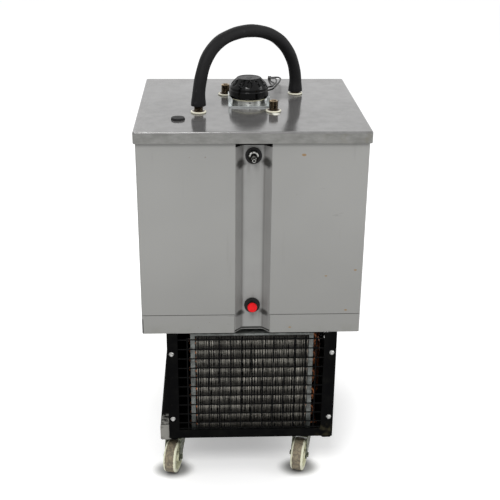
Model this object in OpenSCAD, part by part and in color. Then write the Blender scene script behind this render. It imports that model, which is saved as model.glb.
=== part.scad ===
// Water bath chiller on castors: an insulated steel tank with cooling coils over a condensing unit.
// The floor is z = 0, the front faces -y, and the origin lies under the middle of the lid.

/* [Housing] */
// Width of the insulated housing
body_w = 500; // [470:1:530]
// Depth of the insulated housing
body_d = 488; // [460:1:520]
// Height of the insulated housing
body_h = 471; // [440:1:520]
// Height of the skirt at the foot of the housing
skirt_h = 45.5; // [35:0.5:55]
// Thickness of the outer sheet
skin_t = 1.5; // [1:0.1:2]
// Outer radius of the housing's folded corners
skin_r = 5; // [3:0.5:8]
// Open seam between the skirt and the panels above it
seam_gap = 1.5; // [0.5:0.1:3]

/* [Front channel] */
// Width of the pipe channel where it opens at the front
channel_w = 79; // [70:1:90]
// Width of the flat floor of the channel
channel_floor_w = 45; // [40:1:56]
// Depth of the channel behind the front panels
channel_depth = 18; // [12:1:24]
// Distance of the channel's middle from the middle of the housing
channel_x = 2; // [-6:1:6]
// Open height over the top edge of the channel sheet
channel_top_gap = 28; // [20:1:40]
// Distance from the channel sheet's lower edge to the foot of the housing
channel_foot_gap = 7; // [2:1:10]

/* [Tank] */
// Foam between the tank and the side panels
foam_side = 41; // [30:1:50]
// Foam between the tank and the front panels
foam_front = 47; // [36:1:56]
// Foam between the tank and the rear panels
foam_rear = 39; // [30:1:50]
// Foam under the tank
foam_under = 44; // [34:1:54]
// Thickness of the tank sheet
tank_t = 1.5; // [1:0.1:2]
// Inner radius of the tank's upright corners
tank_r = 20; // [10:1:40]
// Height of the rubber seal under the lid
seal_t = 4.5; // [3:0.5:7]
// Width of the rubber seal
seal_w = 16; // [10:1:24]
// Height of the overflow fitting above the foot of the housing
overflow_h = 420; // [380:1:425]
// Height of the drain fitting above the foot of the housing
drain_h = 63; // [58:1:80]

/* [Lid] */
// Overhang of the lid at each side
lid_side_over = 4; // [3:0.5:8]
// Overhang of the lid at the front and the rear
lid_end_over = 8; // [5:0.5:12]
// Height of the lid's folded edge
lid_h = 26; // [18:1:35]
// Thickness of the lid sheet
lid_t = 2; // [1:0.1:3]
// Outer radius of the lid's upright corners
lid_r = 5; // [3.5:0.5:10]
// Thickness of the foam slab under the lid
lid_foam_t = 24; // [15:1:35]
// Gap between the foam slab and the tank walls
lid_foam_gap = 10; // [6:1:20]
// Distance of the plug's middle from the left side of the housing
plug_side_in = 89; // [80:1:110]
// Distance of the plug's middle from the front of the housing
plug_front_in = 95; // [89:1:114]
// Radius of the plug's visible rim
plug_r = 15.5; // [13:0.5:20]
// Radius of the plug's hole
plug_hole_r = 11; // [8:0.5:12]

/* [Pipe fittings] */
// Outside radius of the threaded nipples
nipple_r = 10.48; // [10:0.01:11]
// Bore radius of the threaded nipples
nipple_bore_r = 6.3; // [5.5:0.1:7]
// Height of a nipple's end above the lid
nipple_up = 25; // [22:1:34]
// Sideways distance of the two free nipples from the middle
free_x = 53; // [50:1:62]
// Distance of the two free nipples from the middle, front to back
free_y = 80.5; // [74:0.5:90]
// Sideways distance of the two hose ends from the middle
hose_x = 116.5; // [108:0.5:124]
// Distance of the two hose ends from the middle, front to back
hose_y = 89; // [84:0.5:100]
// Outside radius of the foam sleeve on the hose
sleeve_r = 14.3; // [13.5:0.1:15.5]
// Outside radius of the sleeve's spread ends
sleeve_end_r = 16.8; // [15.5:0.1:17.5]
// Length of the sleeve's spread ends
sleeve_end_l = 22; // [12:0.5:26]
// Outside radius of the hose inside the sleeve
hose_r = 12.3; // [11.8:0.1:12.4]
// Height of the sleeve's left end above the lid
sleeve_left_up = 16; // [12:0.5:18]
// Height of the sleeve's right end above the lid
sleeve_right_up = 7.5; // [6:0.5:12]

/* [Agitator] */
// Radius of the motor cap at its widest
cap_r = 45.5; // [41:0.5:48]
// Height of the motor cap
cap_h = 45; // [40:1:50]
// Height of the motor cap's lower edge above the lid
cap_up = 15; // [12:1:20]
// Radius of the flat top of the motor cap
cap_top_r = 28; // [22:0.5:32]
// Wall of the motor cap
cap_t = 2.5; // [1.5:0.1:3.5]
// Radius of the motor's lower pot
pot_r = 38; // [34:0.5:39.5]
// Width and depth of the motor's base plate
bracket_w = 96; // [88:1:98]
// Thickness of the motor's base plate
bracket_t = 3; // [2:0.1:4]
// Radius of the agitator shaft
shaft_r = 4; // [3:0.5:6]
// Length of the agitator shaft below the motor
shaft_length = 270; // [220:5:300]
// Radius over the impeller blades
impeller_r = 38; // [28:1:50]

/* [Cooling coils] */
// Radius of the product coil's tube
coil_tube_r = 6; // [5:0.1:6]
// Radius of the bends between the coil's turns and its upright ends
coil_bend = 38; // [30:1:44]
// Turns in each product coil
coil_turns = 4; // [3:1:5]
// Drop from the lid to the first turn
coil_drop = 78; // [70:1:90]
// Height of one turn
coil_pitch = 58; // [50:1:62]
// Radius of the evaporator's tube
evap_tube_r = 5; // [4:0.5:6]
// Turns in the evaporator
evap_turns = 9; // [6:1:10]

/* [Plinth] */
// Height of the space for the condensing unit
plinth_h = 289; // [284:1:320]
// Width of the base frame
base_w = 413; // [405:1:425]
// Depth of the base frame
base_d = 480; // [470:1:486]
// Distance of the base frame's middle from the middle of the housing
base_x = -9.5; // [-12:0.5:-8]
// Width of the base frame's side tubes
rail_w = 24.5; // [22:0.5:24.5]
// Height of the base frame's side tubes
rail_h = 40; // [36:1:42]
// Wall of the base frame's side tubes
rail_t = 2.5; // [1.5:0.1:3]
// Outer corner radius of the side tubes
rail_r = 5; // [4:0.5:6]
// Thickness of the floor sheet
floor_t = 3; // [2:0.5:4]
// Width over the grille frame and the side covers
plinth_w = 394; // [390:1:396]
// Distance of the plinth's middle from the middle of the housing
plinth_x = 2; // [1:0.5:3]
// Thickness of the black painted covers
cover_t = 1.2; // [0.8:0.1:1.6]

/* [Front grille] */
// Width of the grille frame's left post
left_post_w = 25; // [22:1:30]
// Width of the grille frame's right post
right_post_w = 29; // [24:1:32]
// Height of the grille frame's lower rail
grille_rail_h = 22.5; // [20:0.5:30]
// Thickness of the grille frame's sheet
grille_t = 2; // [1.5:0.1:2.5]
// Depth of the grille frame's folded sides
grille_fold = 20; // [12:1:26]
// Pitch of the wires
wire_pitch = 25; // [20:1:30]
// Radius of the wires
wire_r = 1.2; // [0.9:0.1:1.3]
// Radius of the screw heads
screw_head_r = 6; // [4:0.5:7]

/* [Condensing unit] */
// Width over the condenser's end plates
cond_w = 289; // [280:1:296]
// Depth of the condenser
cond_d = 55; // [50:1:62]
// Height of the condenser
cond_h = 273; // [268:1:280]
// Height pitch of the condenser tubes
cond_pitch = 25; // [22:0.5:26]
// Number of tube rows in the height
cond_rows = 11; // [8:1:11]
// Radius of the condenser tubes
cond_tube_r = 4.3; // [3.8:0.1:4.8]
// Pitch of the fins
fin_pitch = 6; // [4:0.5:8]
// Radius of the fan
fan_r = 100; // [85:1:104]
// Radius of the compressor
comp_r = 72; // [64:1:78]
// Height of the compressor's shell
comp_h = 178; // [160:1:200]
// Radius of the thermostat knob
knob_r = 14; // [11:0.5:18]

/* [Castors] */
// Overall height of a castor
castor_h = 103; // [100:1:110]
// Radius of the castor wheels
wheel_r = 40; // [38:0.5:41]
// Width of the castor wheels
wheel_w = 30; // [24:1:32]
// Distance of the wheel's axle from the swivel axis
castor_trail = 34; // [30:1:38]
// Distance of the left castors from the base frame's left edge
castor_left_in = 36; // [31:1:60]
// Distance of the right castors from the base frame's right edge
castor_right_in = 63; // [31:1:80]
// Distance of the castors from the base frame's ends
castor_end_in = 60; // [50:1:90]

/* [Hidden] */
$fn = 64;

// Overrun of every cut past the face that it opens
over = 2;
// Gap between pieces that only lie beside each other
seat_gap = 0.3;
// Gap between a turning piece and what holds it
run_gap = 0.06;
// Gap round a fixed tube or pin in its hole
fit_gap = 0.2;

// Levels, from the floor up
base_z = castor_h;
frame_z = base_z + floor_t;
rail_top = frame_z + rail_h;
foot_z = frame_z + plinth_h;
seam_z = foot_z + skirt_h;
tank_z = foot_z + skin_t + foam_under;
body_top = foot_z + body_h;
flange_top = body_top + tank_t;
lid_under = flange_top + seal_t;
lid_top = lid_under + lid_t;

// Main planes
front_y = -body_d / 2;
rear_y = body_d / 2;
base_left = base_x - base_w / 2;
base_right = base_x + base_w / 2;
base_rear = front_y + base_d;
plinth_left = plinth_x - plinth_w / 2;
plinth_right = plinth_x + plinth_w / 2;
tank_front = front_y + skin_t + foam_front;
tank_rear = rear_y - skin_t - foam_rear;
tank_d = tank_rear - tank_front;
tank_y = (tank_front + tank_rear) / 2;
tank_w = body_w - 2 * (skin_t + foam_side);
channel_y = front_y + channel_depth;
channel_top = body_top - channel_top_gap;

function unit(v) = v / norm(v);
function along(path, i) = unit(path[min(i + 1, len(path) - 1)] - path[max(i - 1, 0)]);
function square_to(v, axis) = unit(v - (v * axis) * axis);
// A normal is carried along the path, and each ring lies square to the path there
function carried(path, start) =
    [for (i = 0, n = square_to(start, along(path, 0)); i < len(path);
        i = i + 1, n = i < len(path) ? square_to(n, along(path, i)) : n) n];
// A corner becomes a smooth bend that starts one radius before it and ends one after it
function bent(path, r, steps) =
    [for (i = [0:len(path) - 1])
        for (k = i == 0 || i == len(path) - 1 ? [0] : [0:steps])
            i == 0 || i == len(path) - 1 ? path[i] :
            let (a = path[i] + r * unit(path[i - 1] - path[i]),
                b = path[i] + r * unit(path[i + 1] - path[i]), s = k / steps)
            (1 - s) * (1 - s) * a + 2 * s * (1 - s) * path[i] + s * s * b];

// Points in rings along a path; the radius is one value or a list with one for each point
function rings_along(path, r, sides, start) =
    let (normals = carried(path, start))
    [for (i = [0:len(path) - 1]) for (k = [0:sides - 1])
        let (t = along(path, i), n = normals[i], turn = 360 * k / sides)
        path[i] + (is_list(r) ? r[i] : r) * (cos(turn) * n + sin(turn) * cross(t, n))];
// Triangles of the wall between rings, whose first point has the number first
function wall_of(rings, sides, first) =
    [for (i = [0:rings - 2]) for (k = [0:sides - 1])
        let (a = first + i * sides + k, b = first + i * sides + (k + 1) % sides)
        each [[a, b, a + sides], [b, b + sides, a + sides]]];

// A round bar along a path
module swept(path, r, sides, start) {
    rings = len(path);
    points = rings_along(path, r, sides, start);
    walls = wall_of(rings, sides, 0);
    near = [for (k = [1:sides - 2]) [0, k + 1, k]];
    base = (rings - 1) * sides;
    far = [for (k = [1:sides - 2]) [base, base + k, base + k + 1]];
    polyhedron(points, [for (f = concat(walls, near, far)) [f[0], f[2], f[1]]]);
}

// A tube along a path: an outer and an inner wall, joined by a flat ring at each end
module piped(path, outer, inner, sides, start) {
    rings = len(path);
    all = rings * sides;
    points = concat(rings_along(path, outer, sides, start), rings_along(path, inner, sides, start));
    outside = wall_of(rings, sides, 0);
    inside = [for (f = wall_of(rings, sides, all)) [f[0], f[2], f[1]]];
    ends = [for (k = [0:sides - 1]) let (n = (k + 1) % sides, far = all - sides)
        each [[k, k + all, n], [n, k + all, n + all],
            [far + k, far + n, far + k + all], [far + n, far + n + all, far + k + all]]];
    polyhedron(points, [for (f = concat(outside, inside, ends)) [f[0], f[2], f[1]]]);
}

// Least gap between stretches of a tube that lie more than reach steps apart
function least_gap(path, r, reach) =
    min([for (i = [0:len(path) - 1 - reach]) for (j = [i + reach:len(path) - 1])
        norm(path[i] - path[j])]) - 2 * r;

module rounded(w, d, r) {
    square([w - 2 * r, d], center = true);
    square([w, d - 2 * r], center = true);
    for (x = [-1, 1], y = [-1, 1]) translate([x * (w / 2 - r), y * (d / 2 - r)]) circle(r);
}

module slab(w, d, h, r) {
    linear_extrude(h) rounded(w, d, r);
}

module shell_ring(w, d, h, r, t) {
    difference() {
        slab(w, d, h, r);
        translate([0, 0, -over]) slab(w - 2 * t, d - 2 * t, h + 2 * over, max(r - t, t / 2));
    }
}

module rod(r, l) {
    cylinder(r = r, h = l);
}

// Lies along x from the given point
module rod_x(r, l) {
    rotate([0, 90, 0]) rod(r, l);
}

// Lies along y, towards the rear
module rod_y(r, l) {
    rotate([-90, 0, 0]) rod(r, l);
}

module ring(outer, inner, h) {
    difference() {
        rod(outer, h);
        translate([0, 0, -over]) rod(inner, h + 2 * over);
    }
}

module hex_nut(flats, bore, h) {
    difference() {
        cylinder(r = flats / sqrt(3), h = h, $fn = 6);
        translate([0, 0, -over]) rod(bore, h + 2 * over);
    }
}

// Base frame: two side tubes, a cross channel at each end and four corner uprights, welded
cross_w = 16;
cross_h = 12;
cross_t = 2.5;
cross_in = 8;
floor_end_in = 14;
end_cap_t = 3;
upright_w = 17.5;
upright_d = 25;
upright_t = 2.5;
upright_front = front_y - seat_gap;
upright_rear = base_rear;

module side_rail(x) {
    translate([x, front_y, frame_z]) difference() {
        translate([0, base_d, rail_h / 2]) rotate([90, 0, 0]) slab(rail_w, rail_h, base_d, rail_r);
        translate([0, base_d + over, rail_h / 2]) rotate([90, 0, 0])
            slab(rail_w - 2 * rail_t, rail_h - 2 * rail_t, base_d - end_cap_t + over, rail_r - rail_t);
    }
}

module cross_rail(y) {
    inner_l = base_w - 2 * rail_w;
    translate([base_x, y, frame_z]) difference() {
        translate([-inner_l / 2, -cross_w / 2, 0]) cube([inner_l, cross_w, cross_h]);
        translate([-inner_l / 2 - over, cross_t - cross_w / 2, -over])
            cube([inner_l + 2 * over, cross_w - 2 * cross_t, cross_h - cross_t + over]);
    }
}

module upright(x, y, z, sx, sy) {
    translate([x, y, z]) {
        translate([sx > 0 ? 0 : -upright_w, sy > 0 ? 0 : -upright_t, 0])
            cube([upright_w, upright_t, foot_z - z]);
        translate([sx > 0 ? 0 : -upright_t, sy > 0 ? 0 : -upright_d, 0])
            cube([upright_t, upright_d, foot_z - z]);
    }
}

module base_frame() color("#1c1c1c") difference() {
    union() {
        for (x = [base_left + rail_w / 2, base_right - rail_w / 2]) side_rail(x);
        cross_rail(front_y + cross_in + cross_w / 2);
        cross_rail(base_rear - cross_in - cross_w / 2);
        // The left pair stands on the floor against its tube, the right pair on top of its tube
        for (s = [-1, 1]) {
            x = s > 0 ? base_left + rail_w : plinth_right - grille_t - seat_gap;
            z = s > 0 ? frame_z : rail_top;
            upright(x, upright_front, z, s, 1);
            upright(x, upright_rear, z, s, -1);
        }
    }
    grille_screw_cuts(screw_r + fit_gap);
}

module base_floor() color("#1c1c1c") translate([base_left, front_y + floor_end_in, base_z])
    cube([base_w, base_d - 2 * floor_end_in, floor_t]);

// Front grille: a folded frame of two posts and a lower rail, four round-head screws and a wire mesh
screw_r = 2.5;
screw_head_h = 3;
screw_side_in = 10.2;
screw_end_in = 54;
grille_lift = 8;
grille_top_gap = 1;
grille_y = front_y - grille_t - seat_gap;
grille_z = base_z + grille_lift;
grille_top = foot_z - grille_top_gap;
window_left = plinth_left + left_post_w;
window_right = plinth_right - right_post_w;
wire_lap = 2;
// Sides of a wire, and the part of a diameter between the two layers of wires, which are welded
wire_sides = 12;
wire_weld = 1.6;
wire_y = grille_y + grille_t + wire_r;
wire_top = foot_z - wire_pitch + wire_pitch / 4;
wire_border_up = 1.6;
wire_rows = floor((wire_top - grille_z - grille_rail_h) / wire_pitch);
wire_cols = floor((window_right - window_left) / wire_pitch);
wire_foot = grille_z + grille_rail_h - wire_lap;
wire_first = plinth_x - (wire_cols - 1) * wire_pitch / 2;

module grille_screw_spots() {
    for (x = [plinth_left + screw_side_in, plinth_right - screw_side_in],
        z = [grille_z + screw_end_in, foot_z - screw_end_in])
        translate([x, grille_y, z]) children();
}

module grille_screw_cuts(r) {
    grille_screw_spots() translate([0, -over, 0]) rod_y(r, grille_fold);
}

module grille_frame() color("#151515") difference() {
    translate([plinth_left, grille_y, grille_z])
        cube([plinth_w, grille_fold, grille_top - grille_z]);
    translate([plinth_left + grille_t, grille_y + grille_t, grille_z + grille_t])
        cube([plinth_w - 2 * grille_t, grille_fold, grille_top - grille_z + over]);
    translate([window_left, grille_y - over, grille_z + grille_rail_h])
        cube([window_right - window_left, grille_fold + 2 * over, grille_top - grille_z]);
    // The folded lower lip stops short of the side tubes
    translate([plinth_left - over, grille_y + grille_t, grille_z - over])
        cube([plinth_w + 2 * over, grille_fold, rail_h + over]);
    grille_screw_cuts(screw_r + fit_gap);
}

module wire_grille() color("#101010") {
    for (k = [0:wire_cols - 1])
        translate([wire_first + k * wire_pitch, wire_y, wire_foot])
            cylinder(r = wire_r, h = wire_top + wire_pitch / 4 - wire_foot, $fn = wire_sides);
    for (z = concat([for (j = [0:wire_rows]) wire_top - j * wire_pitch],
        [grille_z + grille_rail_h + wire_border_up]))
        translate([window_left - wire_lap, wire_y + wire_weld * wire_r, z]) rotate([0, 90, 0])
                cylinder(r = wire_r, h = window_right - window_left + 2 * wire_lap, $fn = wire_sides);
}

module grille_screws() color("#b9bab6") grille_screw_spots() {
    translate([0, -screw_head_h, 0]) rotate([-90, 0, 0])
        cylinder(r1 = screw_head_r * 0.6, r2 = screw_head_r, h = screw_head_h);
    rod_y(screw_r, grille_t + seat_gap + upright_t + screw_head_h);
}

// Side and rear covers: thin black sheets with pressed slots
slot_w = 8;
slot_l = 84;
slot_pitch = 22;
slot_rows = 5;
slot_top_in = 40;
side_slot_cols = 2;
side_slot_step = 130;
// The left cover stands on its tube, the right one laps down outside its tube, and the rear one goes
// down to the floor
cover_lap = 12;
left_cover_foot = rail_top + seat_gap;
right_cover_foot = rail_top - cover_lap;
cover_top = foot_z - seat_gap;
cover_start = grille_y + grille_fold + seat_gap;
rear_cover_y = base_rear;

module slots(cols, step) {
    for (c = [0:cols - 1], k = [0:slot_rows - 1])
        translate([(c - (cols - 1) / 2) * step, 0, foot_z - slot_top_in - k * slot_pitch]) {
            cube([slot_l - slot_w, 3 * slot_w, slot_w], center = true);
            for (s = [-1, 1]) translate([s * (slot_l - slot_w) / 2, -1.5 * slot_w, 0])
                rod_y(slot_w / 2, 3 * slot_w);
        }
}

module side_cover(x, foot) {
    difference() {
        translate([x, cover_start, foot]) cube([cover_t, rear_cover_y - cover_start, cover_top - foot]);
        translate([x, 0, 0]) rotate([0, 0, 90]) slots(side_slot_cols, side_slot_step);
    }
}

module left_cover() color("#161616") side_cover(plinth_left, left_cover_foot);

module right_cover() color("#161616") side_cover(plinth_right - cover_t, right_cover_foot);

knob_side_in = 68;
knob_down = 50;
knob_hole_r = 5;
gland_side_in = 48;
gland_up = 99;
gland_r = 10;
knob_x = plinth_right - knob_side_in;
knob_z = foot_z - knob_down;
gland_x = plinth_right - gland_side_in;
gland_z = frame_z + gland_up;

module rear_cover() color("#161616") difference() {
    translate([plinth_left, rear_cover_y, frame_z]) cube([plinth_w, cover_t, cover_top - frame_z]);
    translate([-slot_l / 2, rear_cover_y, 0]) slots(side_slot_cols, side_slot_step);
    translate([knob_x, rear_cover_y - over, knob_z]) rod_y(knob_hole_r, cover_t + 2 * over);
    translate([gland_x, rear_cover_y - over, gland_z]) rod_y(gland_r + fit_gap, cover_t + 2 * over);
}

// Condenser: galvanised end plates with their flanges turned outwards, a top plate, a fin pack, and
// copper tubes in two upright columns
cond_plate_t = 1.5;
cond_flange = 10.5;
cond_lip = 5;
cond_y = front_y + cross_in + cross_w + over;
cond_top = frame_z + cond_h;
cond_off = 1.5;
cond_x = plinth_x + cond_off;
cond_left = cond_x - cond_w / 2;
cond_right = cond_x + cond_w / 2;
plate_in = cond_flange - cond_plate_t;
fin_gap = 2;
fin_side_in = cond_flange + fin_gap;
fin_end_in = 3;
fin_t = 1.2;
fin_cut = 4;
tube_top_in = 8;
column_pitch = 20;
first_column = cond_y + (cond_d - column_pitch) / 2;
tube_stub = 4.5;
hairpin_stub = 0.2;

function row_z(k) = cond_top - tube_top_in - k * cond_pitch;

module cond_tube_cuts(r) {
    for (c = [0, 1], k = [0:cond_rows - 1])
        translate([cond_left - over, first_column + c * column_pitch, row_z(k)])
            rod_x(r, cond_w + 2 * over);
}

module condenser_frame() color("#9aa3a0") difference() {
    translate([cond_left, cond_y, frame_z]) cube([cond_w, cond_d, cond_h]);
    // Room for the fin pack
    translate([cond_left + cond_flange, cond_y - over, frame_z + cond_plate_t])
        cube([cond_w - 2 * cond_flange, cond_d + 2 * over, cond_h - cond_plate_t - cond_lip]);
    translate([cond_left + cond_flange, cond_y + cond_plate_t, cond_top - cond_lip - over])
        cube([cond_w - 2 * cond_flange, cond_d - 2 * cond_plate_t, cond_lip - cond_plate_t + over]);
    // Room for the bends outside the end plates, between the flanges
    for (x = [cond_left - over, cond_right - plate_in])
        translate([x, cond_y + cond_plate_t, frame_z - over])
            cube([plate_in + over, cond_d - 2 * cond_plate_t, cond_h - cond_plate_t + over]);
    cond_tube_cuts(cond_tube_r + fit_gap);
}

module condenser_fins() color("#8d8578") {
    pack_w = cond_w - 2 * fin_side_in;
    pack_d = cond_d - 2 * fin_end_in;
    pack_h = cond_h - cond_plate_t - cond_plate_t - 2 * seat_gap;
    gaps = floor(pack_w / fin_pitch);
    difference() {
        translate([cond_x - pack_w / 2, cond_y + fin_end_in, frame_z + cond_plate_t + seat_gap])
            cube([pack_w, pack_d, pack_h]);
        for (k = [1:gaps - 1], y = [cond_y + fin_end_in - over, cond_y + cond_d - fin_end_in - fin_cut])
            translate([cond_x - pack_w / 2 + k * fin_pitch, y, frame_z])
                cube([fin_pitch - fin_t, fin_cut + over, cond_h]);
        cond_tube_cuts(cond_tube_r + fit_gap);
    }
}

// A return bend between two tube ends that lie the given distance apart, on the plane x = 0
module return_bend(turn, apart) {
    rotate([turn, 0, 0]) rotate([0, 0, -90])
        rotate_extrude(angle = 180) translate([apart / 2, 0]) circle(cond_tube_r);
}

module condenser_tubes() color("#b5683a") {
    left = cond_left + plate_in - hairpin_stub;
    right = cond_right - plate_in + tube_stub;
    for (c = [0, 1], k = [0:cond_rows - 1])
        translate([left, first_column + c * column_pitch, row_z(k)])
            rod_x(cond_tube_r, right - left);
    for (k = [0:cond_rows - 1])
        translate([left, first_column + column_pitch / 2, row_z(k)]) mirror([1, 0, 0])
            return_bend(0, column_pitch);
    for (c = [0, 1], k = [0:2:cond_rows - 2 - c])
        translate([right, first_column + c * column_pitch, row_z(k + c) - cond_pitch / 2])
            return_bend(90, cond_pitch);
}

// Fan: an orifice plate with two motor arms, a motor and a five-blade fan
shroud_t = 1.5;
shroud_gap = 0.5;
shroud_ring_d = 34;
shroud_ring_clear = 5;
shroud_y = cond_y + cond_d + shroud_gap;
fan_x = cond_x;
fan_z = frame_z + cond_h / 2;
arm_w = 26;
arm_t = 3;
arm_y = shroud_y + shroud_ring_d;
fan_motor_r = 38;
fan_motor_l = 62;
fan_shaft_r = 4;
fan_hub_r = 22;
fan_hub_l = 16;
fan_hub_y = shroud_y + shroud_ring_d - arm_t - fan_hub_l - over;
fan_shaft_hole_r = 9;
blade_count = 5;
blade_t = 1.6;
blade_chord = 44;
blade_pitch_angle = 24;

module fan_shroud() color("#23282b") difference() {
    union() {
        translate([cond_left, shroud_y, frame_z + seat_gap]) cube([cond_w, shroud_t, cond_h]);
        translate([fan_x, shroud_y, fan_z]) rod_y(fan_r + shroud_ring_clear + shroud_t, shroud_ring_d);
    }
    difference() {
        translate([fan_x, shroud_y - over, fan_z]) rod_y(fan_r + shroud_ring_clear, shroud_ring_d + 2 * over);
        translate([fan_x - fan_r - shroud_ring_clear - over, arm_y - arm_t, fan_z - arm_w / 2])
            cube([2 * (fan_r + shroud_ring_clear + over), arm_t, arm_w]);
    }
    translate([fan_x, shroud_y, fan_z]) rod_y(fan_shaft_hole_r, shroud_ring_d + over);
}

module fan_motor() color("#2b2b2e") difference() {
    union() {
        translate([fan_x, arm_y, fan_z]) rod_y(fan_motor_r, fan_motor_l * 0.7);
        translate([fan_x, arm_y + fan_motor_l * 0.7, fan_z]) rotate([-90, 0, 0])
            cylinder(r1 = fan_motor_r, r2 = fan_motor_r * 0.7, h = fan_motor_l * 0.3);
    }
    translate([fan_x, arm_y - over, fan_z]) rod_y(fan_shaft_r + run_gap, fan_motor_l / 2);
}

module fan_blades() color("#a8acad") translate([fan_x, fan_hub_y, fan_z]) {
    rod_y(fan_hub_r, fan_hub_l);
    rod_y(fan_shaft_r, arm_y - fan_hub_y + fan_motor_l / 2 - 2 * over);
    for (k = [0:blade_count - 1]) rotate([0, k * 360 / blade_count, 0])
        translate([fan_hub_r - over, fan_hub_l / 2, 0]) rotate([blade_pitch_angle, 0, 0])
            translate([0, -blade_t / 2, -blade_chord / 2])
                cube([fan_r - fan_hub_r - over, blade_t, blade_chord]);
}

// Compressor: a welded steel shell on a foot plate with four rubber feet, and its terminal cover
comp_side_in = 150;
comp_end_in = 131;
comp_x = base_left + comp_side_in;
comp_y = base_rear - comp_end_in;
comp_rim = 3;
comp_rim_h = 6;
comp_dome_h = 34;
comp_plate_t = 3;
comp_foot_h = 12;
comp_foot_r = 11;
comp_foot_step = 66;
comp_bolt_r = 4;
comp_z = frame_z + comp_foot_h + comp_plate_t;
comp_top = comp_z + comp_h;
terminal_w = 56;
terminal_d = 26;
terminal_h = 70;

module at_comp_feet() {
    for (x = [-1, 1], y = [-1, 1])
        translate([comp_x + x * comp_foot_step, comp_y + y * comp_foot_step, frame_z]) children();
}

module compressor() color("#141414") {
    translate([comp_x, comp_y, comp_z]) rotate_extrude() polygon([[0, 0], [comp_r * 0.72, 0],
        [comp_r, comp_dome_h * 0.5], [comp_r, comp_h / 2], [comp_r + comp_rim, comp_h / 2],
        [comp_r + comp_rim, comp_h / 2 + comp_rim_h], [comp_r, comp_h / 2 + comp_rim_h],
        [comp_r, comp_h - comp_dome_h], [comp_r * 0.82, comp_h - comp_dome_h * 0.35],
        [comp_r * 0.45, comp_h - comp_dome_h * 0.04], [0, comp_h]]);
    difference() {
        translate([comp_x - comp_foot_step - comp_foot_r, comp_y - comp_foot_step - comp_foot_r,
            comp_z - comp_plate_t])
            cube([2 * (comp_foot_step + comp_foot_r), 2 * (comp_foot_step + comp_foot_r), comp_plate_t]);
        at_comp_feet() rod(comp_bolt_r + fit_gap, comp_foot_h + comp_plate_t + over);
    }
}

module compressor_feet() color("#0d0d0d") at_comp_feet() {
    rod(comp_foot_r, comp_foot_h);
    rod(comp_bolt_r, comp_foot_h + comp_plate_t + comp_bolt_r);
}

module terminal_cover() color("#111111")
    translate([comp_x + comp_r + seat_gap, comp_y - terminal_w / 2, comp_z + comp_h / 2 - terminal_h - over])
        cube([terminal_d, terminal_w, terminal_h]);

// Refrigerant circuit: copper lines between the compressor, the condenser, the drier and the tank
line_r = 3.2;
capillary_r = 1.2;
line_bend = 16;
line_steps = 4;
line_sides = 8;
drier_r = 11;
drier_l = 84;
// Places of the lines and the drier: inwards from the right cover
riser_in = 26;
low_bend_in = 35;
hot_over_in = 52;
hot_riser_in = 30;
capillary_in = 144;
riser_x = plinth_right - riser_in;
low_bend_x = plinth_right - low_bend_in;
hot_over_x = plinth_right - hot_over_in;
hot_riser_x = plinth_right - hot_riser_in;
capillary_x = plinth_right - capillary_in;
suction_x = comp_x - comp_r / 3;
// Behind the fan plate, or ahead of it
riser_back = 40.5;
drier_back = 100.5;
hot_back = 16.5;
low_pass_ahead = 27.5;
riser_y = shroud_y + riser_back;
drier_y = shroud_y + drier_back;
hot_y = shroud_y + hot_back;
low_pass_y = shroud_y - low_pass_ahead;
// Above the floor sheet
low_pass_up = 5.5;
low_riser_up = 46;
high_riser_up = 194;
drier_up = 72;
capillary_up = 54;
low_pass_z = frame_z + low_pass_up;
low_riser_top = frame_z + low_riser_up;
high_riser_top = frame_z + high_riser_up;
drier_z = frame_z + drier_up;
capillary_low = frame_z + capillary_up;
// The two tubes of the evaporator come down through the foam behind the tank
evap_wall_gap = 0.3;
evap_y = tank_rear + evap_wall_gap + evap_tube_r;
evap_rise_y = evap_y + 2 * evap_tube_r + 4 * evap_wall_gap;

module filter_drier() color("#b06f45") translate([riser_x, drier_y, drier_z]) {
    translate([0, 0, drier_r]) rod(drier_r, drier_l - 2 * drier_r);
    translate([0, 0, drier_l - drier_r]) cylinder(r1 = drier_r, r2 = line_r, h = drier_r);
    cylinder(r1 = line_r, r2 = drier_r, h = drier_r);
}

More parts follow.
